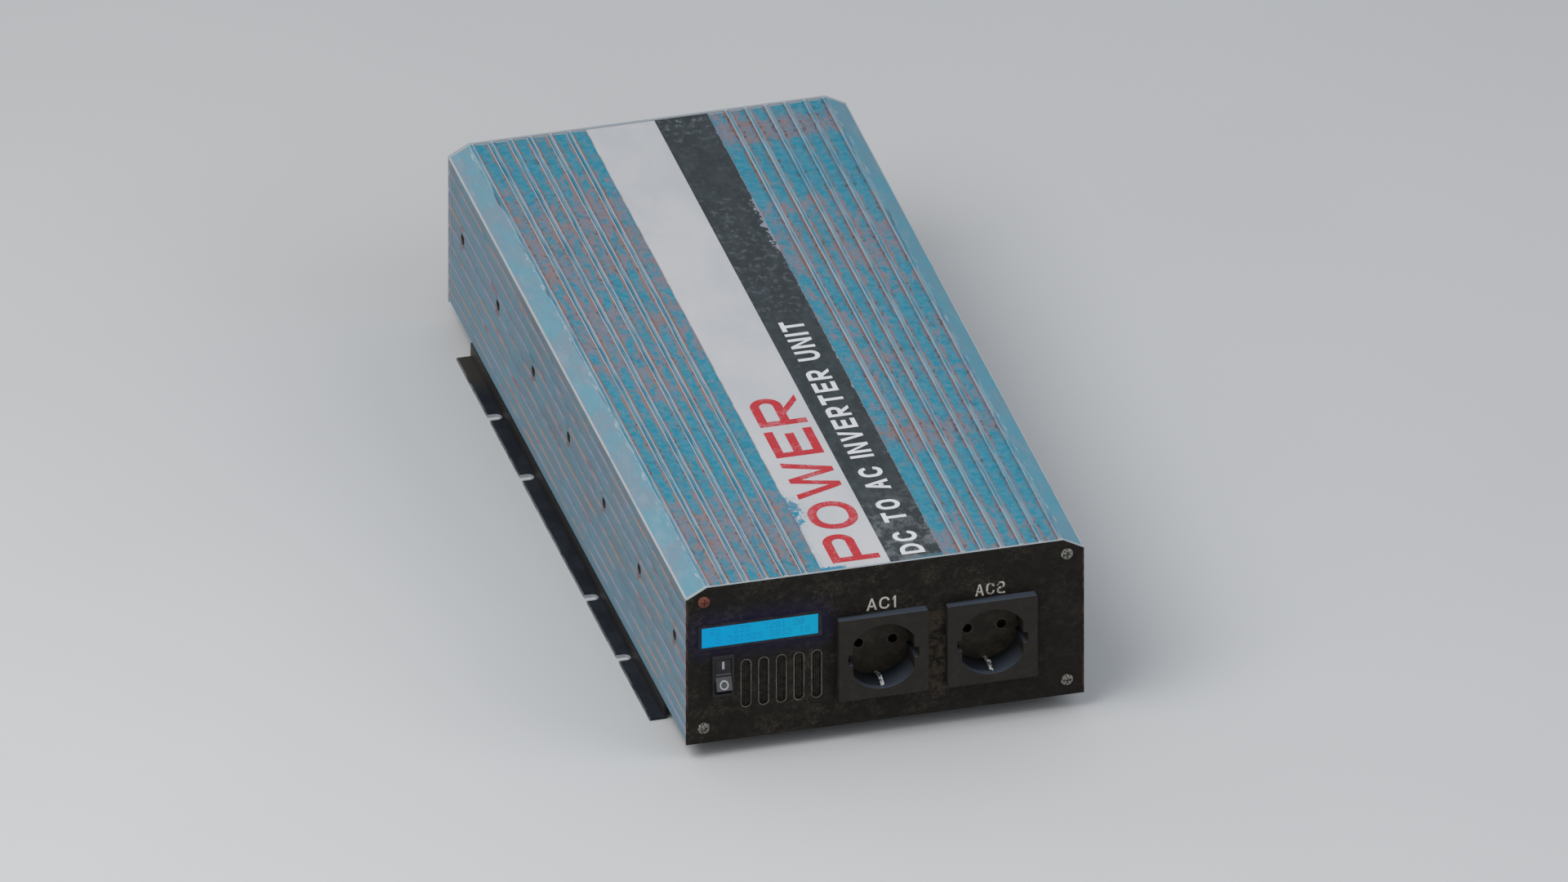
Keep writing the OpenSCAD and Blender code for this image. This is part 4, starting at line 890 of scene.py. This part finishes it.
def add_lettering():
    """The words along the label's two strips, and a legend over each socket."""
    label_lo, label_hi = box_mm("light_label")
    dark_lo = box_mm("dark_label")[0]

    # The label's words run from front to rear, with their tops to the left
    def on_label(base_x, first_y):
        return lambda u, v, h: Vector((base_x - v, first_y + u, label_hi.z + h)) * MM

    lettering("label_large_word", "POWER", length=179.4, height=26.3, stroke=4.9,
              place=on_label(-0.2, label_lo.y + 7.1),
              material=print_ink("red_ink", rgb(188, 54, 62), rgb(192, 116, 122), 0.1, 9))
    lettering("label_small_words", "DC TO AC INVERTER UNIT", length=256.5, height=13.1, stroke=2.7,
              place=on_label(24.6, dark_lo.y + 6.5),
              material=print_ink("white_ink", rgb(214, 216, 219), rgb(120, 126, 132), 0.0))

    def on_panel(first_x, base_z):
        return lambda u, v, h: Vector((first_x + u, panel_lo.y - h, base_z + v)) * MM

    to_middle, legend_height = 8.3, 68
    for number, wear in ((1, 0.03), (2, 0.13)):
        lo, hi = box_mm(f"socket_{number}_body")
        ink = print_ink(f"legend_ink_{number}", rgb(200, 196, 186), rgb(44, 40, 35), wear, 2.2)
        lettering(f"socket_{number}_legend", f"AC{number}", length=16.5, height=7.3, stroke=1.05,
                  place=on_panel((lo.x + hi.x) / 2 - to_middle, shell_lo.z + legend_height),
                  material=ink)


def add_rocker_marks():
    """The usual bar and ring of a rocker switch, laid on its two touch faces."""
    rocker = nodes["switch_rocker"]
    lo, hi = box_mm("switch_rocker")
    middle_x = (lo.x + hi.x) / 2
    ink = print_ink("rocker_ink", rgb(172, 174, 177), rgb(110, 110, 113), 0.04, 2)

    # Each point is found by looking backwards at the rocker from in front of it
    def on_rocker(u, v, h):
        start = Vector((middle_x + u, lo.y - 5, v)) * MM
        place, normal = rocker.ray_cast(start, Vector((0, 1, 0)))[1:3]
        return place + normal * (h * MM)

    bar_z, bar_half, bar_w = shell_lo.z + 47.2, 2.3, 1.3
    ring_z, ring_r, ring_w, ring_steps = shell_lo.z + 36.15, 2.1, 0.8, 32
    mesh = bmesh.new()
    bar = [Vector((0, bar_z - bar_half)), Vector((0, bar_z + bar_half))]
    fill_stroke(mesh, bar, bar_w, on_rocker, INK_TOP, INK_BOTTOM)
    angles = [math.tau * k / ring_steps for k in range(ring_steps)]
    ring = [Vector((ring_r * math.cos(a), ring_z + ring_r * math.sin(a))) for a in angles]
    fill_stroke(mesh, ring + ring[:1], ring_w, on_rocker, INK_TOP, INK_BOTTOM)
    new_piece("rocker_marks", mesh, ink, "rocker")


def add_display_digits():
    """Two faint rows of dot-matrix digits in the display's window."""
    lo, hi = box_mm("display_module")
    dot, digit_pitch, line_pitch = 0.46, 3.3, 5.2
    across_pitch, down_pitch = dot + 0.07, dot + 0.1
    first_x, top_z = lo.x + 4.5, hi.z - 1.4
    line_count, digit_count, blank_share = 2, 17, 0.3
    dot_top = 0.03
    corners = ((0, 0), (1, 0), (1, 1), (0, 1))
    chance = random.Random(12)
    mesh = bmesh.new()

    def on_window(u, v, h):
        return Vector((u, lo.y - h, v)) * MM

    for line in range(line_count):
        for column in range(digit_count):
            if chance.random() < blank_share:
                continue
            rows = DIGIT_DOTS[chance.choice(sorted(DIGIT_DOTS))]
            for row, bits in enumerate(rows):
                for bit in range(5):
                    if bits >> (4 - bit) & 1:
                        x = first_x + column * digit_pitch + bit * across_pitch
                        z = top_z - line * line_pitch - row * down_pitch
                        square = [Vector((x + a * dot, z - b * dot)) for a, b in corners]
                        fill_shape(mesh, square, on_window, dot_top, INK_BOTTOM)
    new_piece("display_digits", mesh, display_ink(), "chassis")


def add_vent_shade_screen():
    """Woven wire behind the vent slots, against the inside of the front panel; its dull colour is
    painted shade, standing in for the dim inside of the slots.
    """
    pitch, wire, gap, margin = 1.1, 0.42, 0.1, 2
    left = VENT_X - VENT_W / 2 - margin
    right = VENT_X + (VENT_COUNT - 1) * VENT_PITCH + VENT_W / 2 + margin
    low = VENT_HEIGHT + shell_lo.z - VENT_H / 2 - margin
    high = low + VENT_H + 2 * margin

    def behind_panel(u, v, h):
        return Vector((u, panel_hi.y + h, v)) * MM

    mesh = bmesh.new()
    for i in range(int((right - left) / pitch) + 1):
        x = left + i * pitch
        fill_stroke(mesh, [Vector((x, low)), Vector((x, high))], wire, behind_panel,
                    gap, gap + wire)
    for i in range(int((high - low) / pitch) + 1):
        z = low + i * pitch
        fill_stroke(mesh, [Vector((left, z)), Vector((right, z))], wire, behind_panel,
                    gap + wire, gap + 2 * wire)
    new_piece("vent_shade_screen", mesh, shade_screen_wire(), "chassis")


# ---- Stage ----


def add_floor():
    mesh = bmesh.new()
    bmesh.ops.create_grid(mesh, x_segments=2, y_segments=2, size=FLOOR_HALF)
    data = bpy.data.meshes.new("floor")
    mesh.to_mesh(data)
    mesh.free()
    s = Shader("floor")
    tone = s.mix(s.noise(300, 2, 0.5), rgb(206, 207, 208), rgb(200, 201, 203))
    data.materials.append(s.finish(tone, 0.9, 0.0, s.noise(30, 2, 0.5), 0.02))
    floor = bpy.data.objects.new("floor", data)
    bpy.context.collection.objects.link(floor)


def add_world():
    world = bpy.data.worlds.new("world")
    world.use_nodes = True
    background = world.node_tree.nodes["Background"]
    background.inputs["Color"].default_value = WORLD_COLOUR
    background.inputs["Strength"].default_value = WORLD_STRENGTH
    bpy.context.scene.world = world


add_camera()
add_world()
add_softbox("key", azimuth=-60, elevation=55, distance=2.2, size=1.6, power=24,
            colour=(1.0, 0.98, 0.95))
add_softbox("fill", azimuth=50, elevation=35, distance=2.4, size=1.6, power=8,
            colour=(0.96, 0.98, 1.0))
bpy.context.scene.view_settings.view_transform = "Standard"
add_floor()
dress_nodes()
add_lettering()
add_rocker_marks()
add_display_digits()
add_vent_shade_screen()
